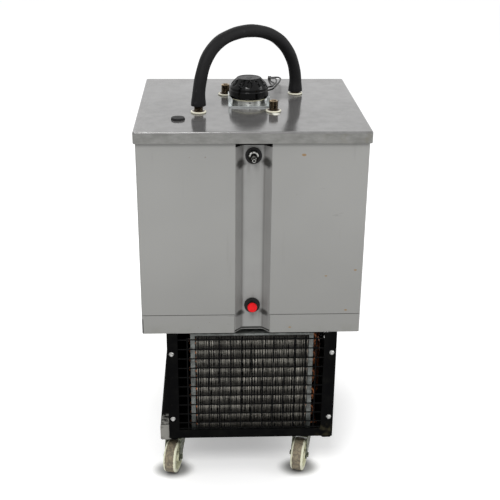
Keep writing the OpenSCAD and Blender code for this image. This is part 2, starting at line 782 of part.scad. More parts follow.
module refrigerant_lines() color("#b5683a") {
    // Hot gas line: over the compressor, along the right side and into the top tube of the rear column
    hot_z = comp_top + line_bend;
    hot_x = comp_x + comp_r * 0.3;
    inlet_x = cond_right - plate_in + tube_stub + seat_gap;
    swept(bent([[hot_x, comp_y, comp_top - seat_gap], [hot_x, comp_y, hot_z + line_bend],
        [hot_over_x, comp_y, hot_z + line_bend], [hot_over_x, hot_y, hot_z + line_bend],
        [hot_riser_x, hot_y, hot_z + line_bend], [hot_riser_x, hot_y, row_z(0)],
        [hot_riser_x, first_column + column_pitch, row_z(0)],
        [inlet_x, first_column + column_pitch, row_z(0)]], line_bend / 2, line_steps),
        line_r, line_sides, [1, 0, 0]);
    // Liquid line: from the last tube of the front column, under the bends of the rear one, up the
    // right side and down into the drier
    swept(bent([[inlet_x, first_column, row_z(cond_rows - 1)],
        [low_bend_x, first_column, row_z(cond_rows - 1)], [low_bend_x, low_pass_y, low_pass_z],
        [low_bend_x, riser_y, low_pass_z], [low_bend_x, riser_y, low_riser_top],
        [riser_x, riser_y, low_riser_top + line_bend],
        [riser_x, riser_y, high_riser_top], [riser_x, drier_y, high_riser_top],
        [riser_x, drier_y, drier_z + drier_l + seat_gap]], line_bend / 3, line_steps),
        line_r, line_sides, [0, 0, 1]);
    // Capillary: from the foot of the drier round to the foot of the housing
    swept(bent([[riser_x, drier_y, drier_z - seat_gap], [riser_x, drier_y, capillary_low],
        [capillary_x, drier_y, capillary_low], [capillary_x, evap_y, capillary_low],
        [capillary_x, evap_y, foot_z - seat_gap]], line_bend / 2, line_steps),
        capillary_r, line_sides, [1, 0, 0]);
    // Suction line: from the foot of the housing down to the compressor
    swept(bent([[suction_x, evap_rise_y, foot_z - seat_gap], [suction_x, evap_rise_y, hot_z + 2 * line_bend],
        [suction_x, comp_y, hot_z + 2 * line_bend], [suction_x, comp_y, comp_top - seat_gap]],
        line_bend / 2, line_steps), line_r, line_sides, [1, 0, 0]);
}

// Electrical parts: a start capacitor, a control box behind the rear cover with a thermostat knob
capacitor_r = 16;
capacitor_l = 70;
capacitor_side_in = 28;
capacitor_back = 50.5;
box_w = 96;
box_d = 74;
box_h = 96;
box_x = plinth_right - grille_t - upright_w - over - box_w;
box_z = foot_z - box_h - seat_gap;
knob_d = 9;
knob_stem = 14;
knob_stem_r = 3;
gland_l = 8;
gland_in = 12;

module run_capacitor() color("#1c2433")
    translate([plinth_right - capacitor_side_in, shroud_y + capacitor_back,
        foot_z - capacitor_l - seat_gap]) {
        rod(capacitor_r, capacitor_l);
        translate([0, 0, -capacitor_r / 2]) rod(capacitor_r * 0.6, capacitor_r / 2);
    }

module control_box() color("#2a2d30") difference() {
    translate([box_x, rear_cover_y - box_d - seat_gap, box_z]) cube([box_w, box_d, box_h]);
    translate([knob_x, rear_cover_y - knob_stem - over, knob_z])
        rod_y(knob_stem_r + run_gap, knob_stem + 2 * over);
}

module thermostat_knob() color("#0f0f0f") translate([knob_x, rear_cover_y + cover_t + seat_gap, knob_z]) {
    difference() {
        rotate([-90, 0, 0]) cylinder(r1 = knob_r, r2 = knob_r * 0.85, h = knob_d);
        for (k = [0:11]) rotate([0, k * 30, 0]) translate([knob_r * 1.02, -over, 0])
            rod_y(knob_r * 0.12, knob_d + 2 * over);
    }
    translate([0, -knob_stem, 0]) rod_y(knob_stem_r, knob_stem + over);
}

module mains_gland() color("#191919") translate([gland_x, rear_cover_y + cover_t, gland_z]) difference() {
    union() {
        translate([0, -gland_in, 0]) rod_y(gland_r, gland_in + gland_l);
        rotate([-90, 0, 0]) cylinder(r = gland_r * 1.3, h = gland_l / 2, $fn = 6);
        translate([0, -cover_t - gland_l / 2 - seat_gap, 0]) rotate([-90, 0, 0])
            cylinder(r = gland_r * 1.3, h = gland_l / 2, $fn = 6);
    }
    translate([0, -gland_in - over, 0]) rod_y(gland_r / 2, gland_in + gland_l + 2 * over);
}

// Castors: a fixed plate with a race and a king pin, a swivelling fork with its axle, and a wheel
plate_w = 60;
plate_l = 80;
plate_t = 2.5;
race_r = 22;
race_h = 5;
pin_r = 5;
fork_gap = 0.3;
arm_gap = 2;
fork_t = 2.5;
crown_l = 64;
axle_r = 4;
axle_head_r = 6.5;
axle_head_h = 4;
hub_gap = 0.3;
arm_end_r = 11;
race_z = castor_h - plate_t - race_h;
crown_top = race_z - fork_gap;
crown_z = crown_top - race_h - fork_t;
// Turn of each fork from straight ahead, chosen as the castors stand
castor_turn = [-14, -17, 20, 164];
castor_spots = [
    [base_left + castor_left_in, front_y + castor_end_in],
    [base_right - castor_right_in, front_y + castor_end_in],
    [base_left + castor_left_in, base_rear - castor_end_in],
    [base_right - castor_right_in, base_rear - castor_end_in]];

module at_castor(i) {
    translate([castor_spots[i][0], castor_spots[i][1], 0]) rotate([0, 0, castor_turn[i]]) children();
}

module castor_plates() color("#7c806f") for (spot = castor_spots) translate([spot[0], spot[1], 0]) {
    translate([0, 0, castor_h - plate_t]) slab(plate_w, plate_l, plate_t, plate_t);
    translate([0, 0, race_z]) rod(race_r, race_h + plate_t / 2);
    translate([0, 0, crown_z - over]) rod(pin_r, race_z - crown_z + 2 * over);
}

module castor_fork(i) {
    half = wheel_w / 2 + arm_gap;
    color("#77806a") at_castor(i) difference() {
        union() {
            translate([-half - fork_t, -crown_l / 2, crown_z]) cube([2 * (half + fork_t), crown_l, fork_t]);
            translate([0, 0, crown_z]) rod(race_r, crown_top - crown_z);
            for (x = [-half - fork_t, half]) translate([x, 0, 0]) rotate([90, 0, 90]) linear_extrude(fork_t)
                union() {
                    polygon([[-crown_l / 2, crown_z], [crown_l / 2, crown_z],
                        [crown_l / 2, crown_z - plate_t], [arm_end_r - castor_trail, wheel_r - arm_end_r / 4],
                        [-castor_trail - arm_end_r * 0.97, wheel_r + arm_end_r / 4]]);
                    translate([-castor_trail, wheel_r]) circle(arm_end_r);
                }
        }
        translate([0, 0, crown_z - over]) rod(pin_r + run_gap, crown_top - crown_z + 2 * over);
        translate([-2 * half, -castor_trail, wheel_r]) rod_x(axle_r + fit_gap, 4 * half);
    }
    color("#a5a79b") at_castor(i) translate([0, -castor_trail, wheel_r]) {
        translate([-half - fork_t - axle_head_h, 0, 0]) rod_x(axle_r, 2 * (half + fork_t + axle_head_h));
        for (x = [-half - fork_t - axle_head_h, half + fork_t]) translate([x, 0, 0]) rotate([0, 90, 0])
            cylinder(r = axle_head_r, h = axle_head_h, $fn = 6);
    }
}

module castor_wheel(i) {
    rim = 3;
    web = wheel_w * 0.16;
    hub_half = wheel_w / 2 + arm_gap - hub_gap;
    color("#cfc9ad") at_castor(i) translate([0, -castor_trail, wheel_r]) rotate([0, 90, 0])
        rotate_extrude() polygon([[axle_r + run_gap, -hub_half], [wheel_r * 0.3, -hub_half],
            [wheel_r * 0.3, -web], [wheel_r * 0.8, -web], [wheel_r * 0.8, -wheel_w / 2],
            [wheel_r - rim, -wheel_w / 2], [wheel_r, rim - wheel_w / 2],
            [wheel_r, wheel_w / 2 - rim], [wheel_r - rim, wheel_w / 2], [wheel_r * 0.8, wheel_w / 2],
            [wheel_r * 0.8, web], [wheel_r * 0.3, web], [wheel_r * 0.3, hub_half],
            [axle_r + run_gap, hub_half]]);
}

module front_left_fork() castor_fork(0);
module front_right_fork() castor_fork(1);
module rear_left_fork() castor_fork(2);
module rear_right_fork() castor_fork(3);
module front_left_wheel() castor_wheel(0);
module front_right_wheel() castor_wheel(1);
module rear_left_wheel() castor_wheel(2);
module rear_right_wheel() castor_wheel(3);

// Housing: a folded bottom pan, two wrap-round skins and the pipe channel between them
channel_bend = 4;
channel_bend_steps = 3;

module channel_outline(grow) {
    polygon(concat([[channel_x - channel_w / 2 - grow, front_y - over],
        [channel_x + channel_w / 2 + grow, front_y - over]],
        bent([[channel_x + channel_w / 2 + grow, front_y],
            [channel_x + channel_floor_w / 2 + grow, channel_y + grow],
            [channel_x - channel_floor_w / 2 - grow, channel_y + grow],
            [channel_x - channel_w / 2 - grow, front_y]], channel_bend, channel_bend_steps)));
}

module channel_cut(z, h, grow) {
    translate([0, 0, z]) linear_extrude(h) channel_outline(grow);
}

module bottom_pan() color("#8f908c") difference() {
    translate([0, 0, foot_z]) slab(body_w, body_d, skirt_h, skin_r);
    translate([0, 0, foot_z + skin_t])
        slab(body_w - 2 * skin_t, body_d - 2 * skin_t, skirt_h, skin_r - skin_t);
    channel_cut(foot_z - over, skirt_h + 2 * over, skin_t + seat_gap);
    for (spot = evap_spots) translate([spot[0], spot[1], foot_z - over])
        rod(line_r + fit_gap, skin_t + 2 * over);
}

module skin_half(side) {
    rear_seam = seat_gap;
    difference() {
        translate([0, 0, seam_z + seam_gap])
            shell_ring(body_w, body_d, body_top - seam_z - seam_gap, skin_r, skin_t);
        translate([side > 0 ? rear_seam / 2 - body_w : -rear_seam / 2, 0, seam_z])
            cube([body_w, body_d, body_h]);
        translate([channel_x - channel_w / 2 - (side > 0 ? body_w : 0), -body_d, seam_z])
            cube([side > 0 ? body_w + channel_w : body_w, body_d + skin_r, body_h]);
    }
}

module left_casing() color("#97978f") skin_half(-1);

module right_casing() color("#97978f") skin_half(1);

module fitting_cuts(r) {
    for (z = [foot_z + overflow_h, foot_z + drain_h])
        translate([channel_x, channel_y - over, z]) rod_y(r, tank_front - channel_y + tank_t + 2 * over);
}

pipe_r = 5.5;
grommet_r = 18;
grommet_t = 4;
neck_r = 9;

module recess_channel() color("#8b8b86") difference() {
    translate([0, 0, foot_z + channel_foot_gap])
        linear_extrude(channel_top - foot_z - channel_foot_gap) difference() {
            channel_outline(skin_t);
            channel_outline(0);
            // The sheet's edges butt against the backs of the front panels
            translate([channel_x - channel_w, front_y - 2 * over]) square([2 * channel_w, 2 * over + skin_t]);
        }
    fitting_cuts(neck_r + fit_gap);
}

// Tank: a folded tub with a flange that lies on the housing's top edge
flange_in = 4;

module inner_tank() color("#b9bcbc") difference() {
    union() {
        translate([0, tank_y, tank_z]) slab(tank_w, tank_d, body_top - tank_z, tank_r + tank_t);
        translate([0, 0, body_top]) slab(body_w - 2 * flange_in, body_d - 2 * flange_in, tank_t, skin_r);
    }
    translate([0, tank_y, tank_z + tank_t])
        slab(tank_w - 2 * tank_t, tank_d - 2 * tank_t, body_h, tank_r);
    fitting_cuts(neck_r + fit_gap);
    translate([channel_x - channel_w / 2, -body_d, body_top - over])
        cube([channel_w, body_d + channel_y, tank_t + 2 * over]);
}

module insulation() color("#d9c98c") difference() {
    translate([0, 0, foot_z + skin_t + seat_gap])
        slab(body_w - 2 * (skin_t + seat_gap), body_d - 2 * (skin_t + seat_gap),
            body_h - skin_t - 2 * seat_gap, skin_r - skin_t);
    translate([0, tank_y, tank_z - seat_gap])
        slab(tank_w + 2 * seat_gap, tank_d + 2 * seat_gap, body_h, tank_r + tank_t + seat_gap);
    channel_cut(foot_z, body_h + over, skin_t + seat_gap);
    // A hollow behind the open strip over the channel sheet
    translate([channel_x - channel_w / 2, front_y - over, channel_top])
        cube([channel_w, channel_depth + foam_front / 3, body_h]);
    fitting_cuts(neck_r + fit_gap);
    // A hollow for the evaporator round the tank, and two ways down for its ends
    translate([0, tank_y, evap_low - evap_turn_in - over])
        slab(tank_w + 2 * evap_room, tank_d + 2 * evap_room,
            evap_top - evap_low + evap_turn_in + 2 * evap_tube_r + over, tank_r + tank_t + evap_room);
    for (spot = evap_spots) translate([spot[0], spot[1], foot_z])
        rod(evap_tube_r + 2 * fit_gap, evap_low - foot_z);
    translate([suction_x - evap_turn_in - evap_room / 2, tank_rear, evap_low - evap_turn_in])
        cube([evap_turn_in + evap_room + fit_gap, evap_rise_y - tank_rear + evap_room / 2 + fit_gap,
            evap_top - evap_low + evap_turn_in + 2 * evap_tube_r]);
}

// Evaporator: one tube wound round the outside of the tank, its ends down through the foam behind it
evap_top_in = 60;
evap_foot_in = 59.5;
evap_corner_steps = 4;
evap_sides = 6;
evap_corner = tank_r + tank_t + evap_wall_gap + evap_tube_r;
evap_room = 2 * (evap_wall_gap + evap_tube_r) + fit_gap;
evap_w = tank_w + 2 * (evap_wall_gap + evap_tube_r);
evap_d = tank_d + 2 * (evap_wall_gap + evap_tube_r);
evap_top = body_top - evap_top_in;
evap_low = tank_z + evap_foot_in;
evap_turn_in = 3 * evap_tube_r;
evap_spots = [[suction_x, evap_rise_y], [capillary_x, evap_y]];

function evap_corner_spot(q, s) =
    let (sx = q == 0 || q == 3 ? 1 : -1, sy = q < 2 ? 1 : -1, a = 90 * (q + s))
    [sx * (evap_w / 2 - evap_corner) + evap_corner * cos(a),
        tank_y + sy * (evap_d / 2 - evap_corner) + evap_corner * sin(a)];

// The tube drops evenly between its corners, and each corner takes two fifths of a quarter turn
evap_drop_shares = [for (t = [0:evap_turns - 1]) for (q = [0:3]) for (k = [0:evap_corner_steps])
    (t + (q + k / evap_corner_steps * 0.4 + 0.3) / 4) / evap_turns];
evap_path = concat(
    [[suction_x, evap_rise_y, foot_z + skin_t + seat_gap],
        [suction_x, evap_rise_y, evap_top - evap_turn_in],
        [suction_x - evap_turn_in / 4, evap_rise_y - evap_turn_in / 8, evap_top - evap_turn_in / 4],
        [suction_x - evap_turn_in, evap_y, evap_top]],
    [for (n = [0:len(evap_drop_shares) - 1])
        let (q = floor(n / (evap_corner_steps + 1)) + 1, k = n % (evap_corner_steps + 1),
            spot = evap_corner_spot(q % 4, k / evap_corner_steps))
        [spot[0], spot[1], evap_top - evap_drop_shares[n] * (evap_top - evap_low)]],
    [[capillary_x + evap_turn_in, evap_y, evap_low],
        [capillary_x + evap_turn_in / 4, evap_y, evap_low - evap_turn_in / 4],
        [capillary_x, evap_y, evap_low - evap_turn_in],
        [capillary_x, evap_y, foot_z + skin_t + seat_gap]]);

module evaporator_coil() color("#a9adb0") swept(evap_path, evap_tube_r, evap_sides, [1, 0, 0]);

// Overflow spout and drain stub, each in a rubber grommet on the channel's floor
spout_tilt = 17;
spout_r = 4.3;
spout_bore_r = 2.8;
pipe_bore_r = 3.6;
spout_l = 16.8;
spout_collar_r = 5.2;
spout_collar_l = 8;
spout_nut_flats = 24;
spout_nut_h = 5;
stub_l = 12;
stub_r = 7.5;
cap_l = 3.5;
drain_cap_r = 11;
drain_cap_wall_end = 2;
pipe_in = 6;

module at_fitting(z) {
    translate([channel_x, channel_y, z]) children();
}

module fitting_grommets() color("#101010")
    for (z = [foot_z + overflow_h, foot_z + drain_h]) at_fitting(z) difference() {
        union() {
            translate([0, -grommet_t, 0]) rod_y(grommet_r, grommet_t);
            translate([0, -grommet_t / 2, 0])
                rod_y(neck_r, grommet_t / 2 + tank_front - channel_y - seat_gap);
        }
        translate([0, -grommet_t - over, 0]) rod_y(pipe_r + fit_gap, tank_front - channel_y + 2 * grommet_t);
    }

module fitting_pipe() {
    translate([0, -grommet_t - over, 0]) rod_y(pipe_r, tank_front - channel_y + grommet_t + over + pipe_in);
}

module overflow_spout() color("#c6c8c6") at_fitting(foot_z + overflow_h) difference() {
    union() {
        fitting_pipe();
        translate([0, -grommet_t, 0]) rotate([90, 0, 0])
            cylinder(r = spout_nut_flats / sqrt(3), h = spout_nut_h, $fn = 6);
        translate([0, -grommet_t - spout_nut_h, 0]) rotate([90 + spout_tilt, 0, 0]) translate([0, 0, -over])
        {
            rod(spout_collar_r, spout_collar_l + over);
            rod(spout_r, spout_l + over);
        }
    }
    translate([0, -grommet_t, 0]) rod_y(pipe_bore_r, tank_front - channel_y + 4 * grommet_t);
    translate([0, -grommet_t - spout_nut_h, 0]) rotate([90 + spout_tilt, 0, 0]) translate([0, 0, -4 * over])
        rod(spout_bore_r, spout_l + 4 * over);
}

module drain_stub() color("#1b1a18") at_fitting(foot_z + drain_h) difference() {
    union() {
        fitting_pipe();
        translate([0, -grommet_t - stub_l, 0]) rod_y(stub_r, stub_l);
    }
    translate([0, -grommet_t - stub_l - over, 0])
        rod_y(pipe_bore_r, stub_l + tank_front - channel_y + 4 * grommet_t);
}

module drain_cap() color("#d8201f") at_fitting(foot_z + drain_h)
    translate([0, cap_l - grommet_t - stub_l - seat_gap, 0]) difference() {
        rotate([90, 0, 0])
            cylinder(r1 = drain_cap_r, r2 = drain_cap_r * 0.94, h = cap_l + drain_cap_wall_end);
        translate([0, -cap_l, 0]) rod_y(stub_r + run_gap, cap_l + over);
    }

// Lid: a folded sheet over a rubber seal, with a foam slab inside the tank's mouth and a plug
shaft_hole_r = 12;
// The motor leads go in through the lid's rear edge
lead_x = 64;
lead_down = 13;
lead_hole_r = 6;
lead_y = rear_y + lid_end_over - lid_t;
nipple_spots = [[-hose_x, -hose_y], [hose_x, hose_y], [-free_x, free_y], [free_x, -free_y]];
collar_r = 17.8;
collar_t = 3.4;
lower_nut_flats = 27;
lower_nut_h = 6;

module at_plug(z) {
    translate([plug_side_in - body_w / 2, front_y + plug_front_in, z]) children();
}

module lid_holes(z, h) {
    translate([0, 0, z]) {
        for (spot = nipple_spots) translate([spot[0], spot[1], 0]) rod(nipple_r + fit_gap, h);
        rod(shaft_hole_r, h);
        at_plug(0) rod(plug_hole_r + fit_gap, h);
    }
}

module lid_seal() color("#0e0e0e") difference() {
    translate([0, 0, flange_top])
        shell_ring(body_w - 2 * flange_in, body_d - 2 * flange_in, seal_t - seat_gap, skin_r, seal_w);
    translate([channel_x - channel_w / 2, -body_d, flange_top - over])
        cube([channel_w, body_d + front_y + flange_in + seal_w / 2, seal_t + 2 * over]);
}

module lid() color("#9c9c98") difference() {
    translate([0, 0, lid_top - lid_h])
        slab(body_w + 2 * lid_side_over, body_d + 2 * lid_end_over, lid_h, lid_r);
    translate([0, 0, lid_top - lid_h - over])
        slab(body_w + 2 * (lid_side_over - lid_t), body_d + 2 * (lid_end_over - lid_t),
            lid_h - lid_t + over, lid_r - lid_t);
    lid_holes(lid_under - over, lid_t + 2 * over);
    translate([lead_x, lead_y - over, lid_top - lead_down]) rod_y(lead_hole_r + fit_gap, lid_t + 2 * over);
}

module lid_foam() color("#dccf9a") difference() {
    translate([0, tank_y, lid_under - lid_foam_t])
        slab(tank_w - 2 * lid_foam_gap, tank_d - 2 * lid_foam_gap, lid_foam_t, tank_r - lid_foam_gap / 2);
    lid_holes(lid_under - lid_foam_t - over, lid_foam_t + 2 * over);
}

plug_t = 4;
plug_l = 12;

module lid_plug() color("#141414") at_plug(lid_top + seat_gap) {
    cylinder(r1 = plug_r, r2 = plug_r * 0.93, h = plug_t);
    translate([0, 0, -plug_l]) rod(plug_hole_r, plug_l + plug_t / 2);
}

// Agitator drive: a base plate with two turned-up ears, a motor pot, and a slotted cap over it
ear_w = 60;
ear_h = 19;
ear_lip = 7;
ear_t = 2;
pot_up = bracket_t;
inner_pot_r = 33;
inner_pot_h = 38;
pot_screw_r = 1.6;
vent_count = 12;
vent_r = 4;
vent_l = 8;
cap_band_h = 17;
boss_r = 9;

module motor_bracket() color("#a3a7a6") translate([0, 0, lid_top]) {
    difference() {
        union() {
            slab(bracket_w, bracket_w, bracket_t, bracket_t);
            for (s = [-1, 1]) translate([s * (bracket_w / 2 - ear_t / 2) - ear_t / 2, -ear_w / 2, 0]) {
                cube([ear_t, ear_w, ear_h]);
                translate([s > 0 ? ear_t - ear_lip : 0, 0, 0]) cube([ear_lip, ear_t, ear_h]);
            }
        }
        translate([0, 0, -over]) rod(shaft_hole_r, bracket_t + 2 * over);
    }
}

module motor_pot() color("#c2c3bb") translate([0, 0, lid_top + pot_up]) difference() {
    union() {
        rod(pot_r, cap_up - pot_up + over);
        rod(inner_pot_r, inner_pot_h);
    }
    translate([0, 0, -over]) rod(shaft_r + run_gap, inner_pot_h / 2);
    translate([0, -pot_r - over, (cap_up - pot_up) / 2]) rod_y(pot_screw_r, 2 * over);
}

module cap_profile(shrink) {
    r = cap_r - shrink;
    top = cap_h - shrink;
    polygon([[0, -over * (shrink > 0 ? 1 : 0)], [r * 0.95, -over * (shrink > 0 ? 1 : 0)], [r * 0.95, 0],
        [r, cap_band_h * 0.2], [r, cap_band_h], [r * 0.985, cap_band_h * 1.06],
        [r * 0.985, cap_band_h * 1.35], [r * 0.9, cap_h * 0.68], [cap_top_r, top - shrink * 0.2],
        [cap_top_r * 0.9, top], [0, top]]);
}

module motor_cap() color("#0b0b0b") translate([0, 0, lid_top + cap_up]) difference() {
    rotate_extrude() cap_profile(0);
    rotate_extrude() cap_profile(cap_t);
    for (k = [0:vent_count - 1]) rotate([0, 0, 360 * k / vent_count])
        translate([0, -cap_r * 0.84, cap_h * 0.66]) rotate([45, 0, 0]) translate([0, 0, -vent_l]) {
            translate([0, -vent_r / 2, 0]) rod(vent_r, 2 * vent_l);
            translate([0, vent_r / 2, 0]) rod(vent_r, 2 * vent_l);
        }
    translate([0, 0, -over]) rod(pot_r + fit_gap, 2 * over);
    // Cable hole in the side of the cap
    translate([0, 0, wire_exit_h - cap_up]) rotate([0, 0, wire_exit_turn]) rod_x(wire_hole_r, 2 * cap_r);
}

// Two thin motor wires: out of the cap's side, over the lid's rear edge and back into its grommet
wire_exit_h = 28;
wire_exit_turn = 23;
wire_hole_r = 7;
motor_wire_r = 1.9;
motor_wire_sides = 8;
wire_steps = 4;
wire_bend = 5.1;
upper_wire_points = [[33, 14, 906], [56, 32, 904], [73, 110, 898], [74, 165, 894], [68, 210, 884],
    [62, 241, 879], [62, 257, 879], [62, 262, 870], [62, 257, 861], [62, 250, 861]];
lower_wire_points = [[34, 13, 898], [58, 34, 897], [80, 120, 895], [89, 192, 888], [84, 224, 884],
    [66, 241, 879], [66, 257, 879], [66, 262, 870], [66, 257, 861], [66, 250, 861]];
lead_lip = 1;

module lead_grommet() color("#101010") translate([lead_x, lead_y, lid_top - lead_down]) difference() {
    union() {
        rod_y(lead_hole_r, lid_t + lead_lip);
        translate([0, lid_t, 0]) rod_y(lead_hole_r + lid_t, lead_lip);
    }
    translate([0, -over, 0]) rod_y(lead_hole_r - lid_t / 2, lid_t + lead_lip + 2 * over);
}

module motor_wires() color("#0c0c0c") {
    swept(bent(upper_wire_points, wire_bend, wire_steps), motor_wire_r, motor_wire_sides, [0, 0, 1]);
    swept(bent(lower_wire_points, wire_bend, wire_steps), motor_wire_r, motor_wire_sides, [0, 0, 1]);
}

// Coil connections: threaded nipples through the lid, with round collar nuts above and hexagon nuts
// below
nipple_down = lid_t + lid_foam_t + lower_nut_h + over;
// The thread's run-out above the collar nut: a groove
runout_up = 6.5;
runout_h = 1.5;
runout_deep = 0.5;

module at_nipples(z) {
    for (spot = nipple_spots) translate([spot[0], spot[1], z]) children();
}

module coil_nipples() color("#6b5233") at_nipples(lid_top - nipple_down) difference() {
    union() {
        rod(nipple_r, nipple_down + nipple_up - over);
        translate([0, 0, nipple_down + nipple_up - over])
            cylinder(r1 = nipple_r, r2 = nipple_r - over, h = over);
    }
    translate([0, 0, -over]) rod(nipple_bore_r, nipple_down + nipple_up + 2 * over);
    translate([0, 0, nipple_down + runout_up]) ring(nipple_r + over, nipple_r - runout_deep, runout_h);
}

module collar_nuts() color("#e6e2cc") at_nipples(lid_top) ring(collar_r, nipple_r + run_gap, collar_t);

module lower_nuts() color("#6f5a3c") at_nipples(lid_under - lid_foam_t - lower_nut_h)
    hex_nut(lower_nut_flats, nipple_r + run_gap, lower_nut_h);

// Link hose: a hose arch over the motor between two nipples, in a black foam sleeve
arch_r = norm([hose_x, hose_y]);
arch_turn = atan2(hose_y, hose_x);
arch_leg = 19;
// The arch bends in four arcs, from the left: the angles where they meet, and the radii of the first
// three as shares of half the span; the fourth closes the arch
arch_angles = [0, 22, 73, 111, 180];
arch_bend_shares = [1.5, 0.66, 1.34];
arch_last = len(arch_bend_shares);
arch_last_cos = cos(arch_angles[arch_last]);
arch_last_r = (arch_r - arch_middle(arch_last - 1)[0]
    + arch_bend_shares[arch_last - 1] * arch_r * arch_last_cos) / (1 + arch_last_cos);

function arch_bend_r(i) = i < arch_last ? arch_bend_shares[i] * arch_r : arch_last_r;
// Middle of an arc, from the middle of the arch's span, level with the top of its left leg
function arch_middle(i) = i == 0 ? [arch_bend_r(0) - arch_r, 0] :
    arch_middle(i - 1) + (arch_bend_r(i - 1) - arch_bend_r(i)) * [-cos(arch_angles[i]), sin(arch_angles[i])];

hose_steps = 9;
hose_sides = 24;
hose_path = [for (p = concat([[-arch_r, sleeve_left_up - arch_leg]],
        [for (i = [0:arch_last]) for (k = [i == 0 ? 0 : 1:hose_steps])
            let (a = arch_angles[i] + (arch_angles[i + 1] - arch_angles[i]) * k / hose_steps)
            arch_middle(i) + arch_bend_r(i) * [-cos(a), sin(a)]],
        [[arch_r, sleeve_right_up - arch_leg]]))
    [p[0] * cos(arch_turn), p[0] * sin(arch_turn), lid_top + arch_leg + p[1]]];
// The sleeve's radius at each point: it spreads towards its ends
sleeve_radii = [for (p = hose_path)
    let (up = p[2] - lid_top - (p[0] < 0 ? sleeve_left_up : sleeve_right_up))
    sleeve_r + (sleeve_end_r - sleeve_r) * max(0, 1 - up / sleeve_end_l)];

module link_hose() color("#1d1d1d")
    piped(hose_path, hose_r - fit_gap, nipple_r + fit_gap, hose_sides, [1, 0, 0]);

module hose_lagging() color("#171717") piped(hose_path, sleeve_radii, hose_r, hose_sides, [1, 0, 0]);

// Product coils: two like tubes, half a turn apart, each from a hose nipple down and back up inside
coil_sides = 6;
coil_steps = 24;
coil_bend_steps = 4;
outer_coil_r = sqrt(arch_r * arch_r - coil_bend * coil_bend);
free_r = norm([free_x, free_y]);
inner_coil_r = sqrt(free_r * free_r - coil_bend * coil_bend);
coil_start = 180 + arch_turn + atan2(coil_bend, outer_coil_r);
coil_end = atan2(free_y, -free_x) - atan2(coil_bend, inner_coil_r) + 360 * (coil_turns + 1);
coil_spiral = 200;
coil_z = lid_under - coil_drop;
coil_seat = 14;
coil_foot = coil_z - (coil_end - coil_start) / 360 * coil_pitch;
coil_count = ceil((coil_end - coil_start) / 360 * coil_steps);

function coil_radius(a) = a < coil_end - coil_spiral ? outer_coil_r :
    let (s = (a - coil_end + coil_spiral) / coil_spiral)
    outer_coil_r + (inner_coil_r - outer_coil_r) * s * s * (3 - 2 * s);

coil_first = outer_coil_r * [cos(coil_start), sin(coil_start)];
coil_first_way = [-sin(coil_start), cos(coil_start)];
coil_last = inner_coil_r * [cos(coil_end), sin(coil_end)];
coil_last_way = [-sin(coil_end), cos(coil_end)];
coil_riser_top = lid_top - nipple_down + coil_seat;

coil_path = concat(
    [[-hose_x, -hose_y, coil_riser_top]],
    [for (k = [0:coil_bend_steps - 1]) let (a = 90 * k / coil_bend_steps,
            back = coil_bend * cos(a))
        [coil_first[0] - coil_first_way[0] * back, coil_first[1] - coil_first_way[1] * back,
            coil_z + coil_bend * (1 - sin(a))]],
    [for (k = [0:coil_count]) let (a = coil_start + (coil_end - coil_start) * k / coil_count)
        [coil_radius(a) * cos(a), coil_radius(a) * sin(a),
            coil_z - (a - coil_start) / 360 * coil_pitch]],
    [for (k = [1:coil_bend_steps]) let (a = 90 * k / coil_bend_steps, on = coil_bend * sin(a))
        [coil_last[0] + coil_last_way[0] * on, coil_last[1] + coil_last_way[1] * on,
            coil_foot + coil_bend * (1 - cos(a))]],
    [[-free_x, free_y, coil_riser_top]]);

echo(product_coil_gap = least_gap(coil_path, coil_tube_r, coil_steps / 3));
echo(evaporator_gap = least_gap(evap_path, evap_tube_r, 2 * evap_corner_steps + 2));

module product_coils() color("#c3c6c8") for (turn = [0, 180]) rotate([0, 0, turn])
    swept(coil_path, coil_tube_r, coil_sides, [cos(coil_start), sin(coil_start), 0]);

// Agitator: a shaft down the middle of the coils with a four-blade impeller at its foot
impeller_hub_r = 9;
impeller_hub_h = 20;
impeller_t = 2;
impeller_chord = 20;
impeller_count = 4;
impeller_tilt = 35;
shaft_top = lid_top + pot_up + inner_pot_h / 2 - 2 * over;
impeller_z = lid_top - shaft_length;

module agitator_shaft() color("#bfc2c3") translate([0, 0, impeller_z]) rod(shaft_r, shaft_top - impeller_z);

module impeller() color("#d8d8d2") translate([0, 0, impeller_z]) difference() {
    union() {
        rod(impeller_hub_r, impeller_hub_h);
        for (k = [0:impeller_count - 1]) rotate([0, 0, 360 * k / impeller_count])
            translate([impeller_hub_r - over, 0, impeller_hub_h / 2]) rotate([impeller_tilt, 0, 0])
                translate([0, -impeller_chord / 2, -impeller_t / 2])
                    cube([impeller_r - impeller_hub_r + over, impeller_chord, impeller_t]);
    }
    translate([0, 0, -over - impeller_hub_h]) rod(shaft_r + run_gap, 3 * impeller_hub_h);
}

base_frame();
base_floor();
grille_frame();
wire_grille();
grille_screws();
left_cover();
right_cover();
rear_cover();
condenser_frame();
condenser_fins();
condenser_tubes();
fan_shroud();
fan_motor();
fan_blades();
compressor();
terminal_cover();
compressor_feet();
filter_drier();
refrigerant_lines();
run_capacitor();
control_box();
thermostat_knob();
mains_gland();
castor_plates();
bottom_pan();
left_casing();
right_casing();
recess_channel();
inner_tank();
insulation();
evaporator_coil();
fitting_grommets();
overflow_spout();
drain_stub();
drain_cap();
lid_seal();
lid();
lid_foam();
lid_plug();
motor_bracket();
motor_pot();
motor_cap();
lead_grommet();
motor_wires();
coil_nipples();
lower_nuts();
collar_nuts();
link_hose();
hose_lagging();
product_coils();
agitator_shaft();
impeller();
front_left_fork();
front_right_fork();
rear_left_fork();
rear_right_fork();
front_left_wheel();
front_right_wheel();
rear_left_wheel();
rear_right_wheel();
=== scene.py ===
import math

import bmesh
import bpy
import numpy as np
from mathutils import Matrix, Vector


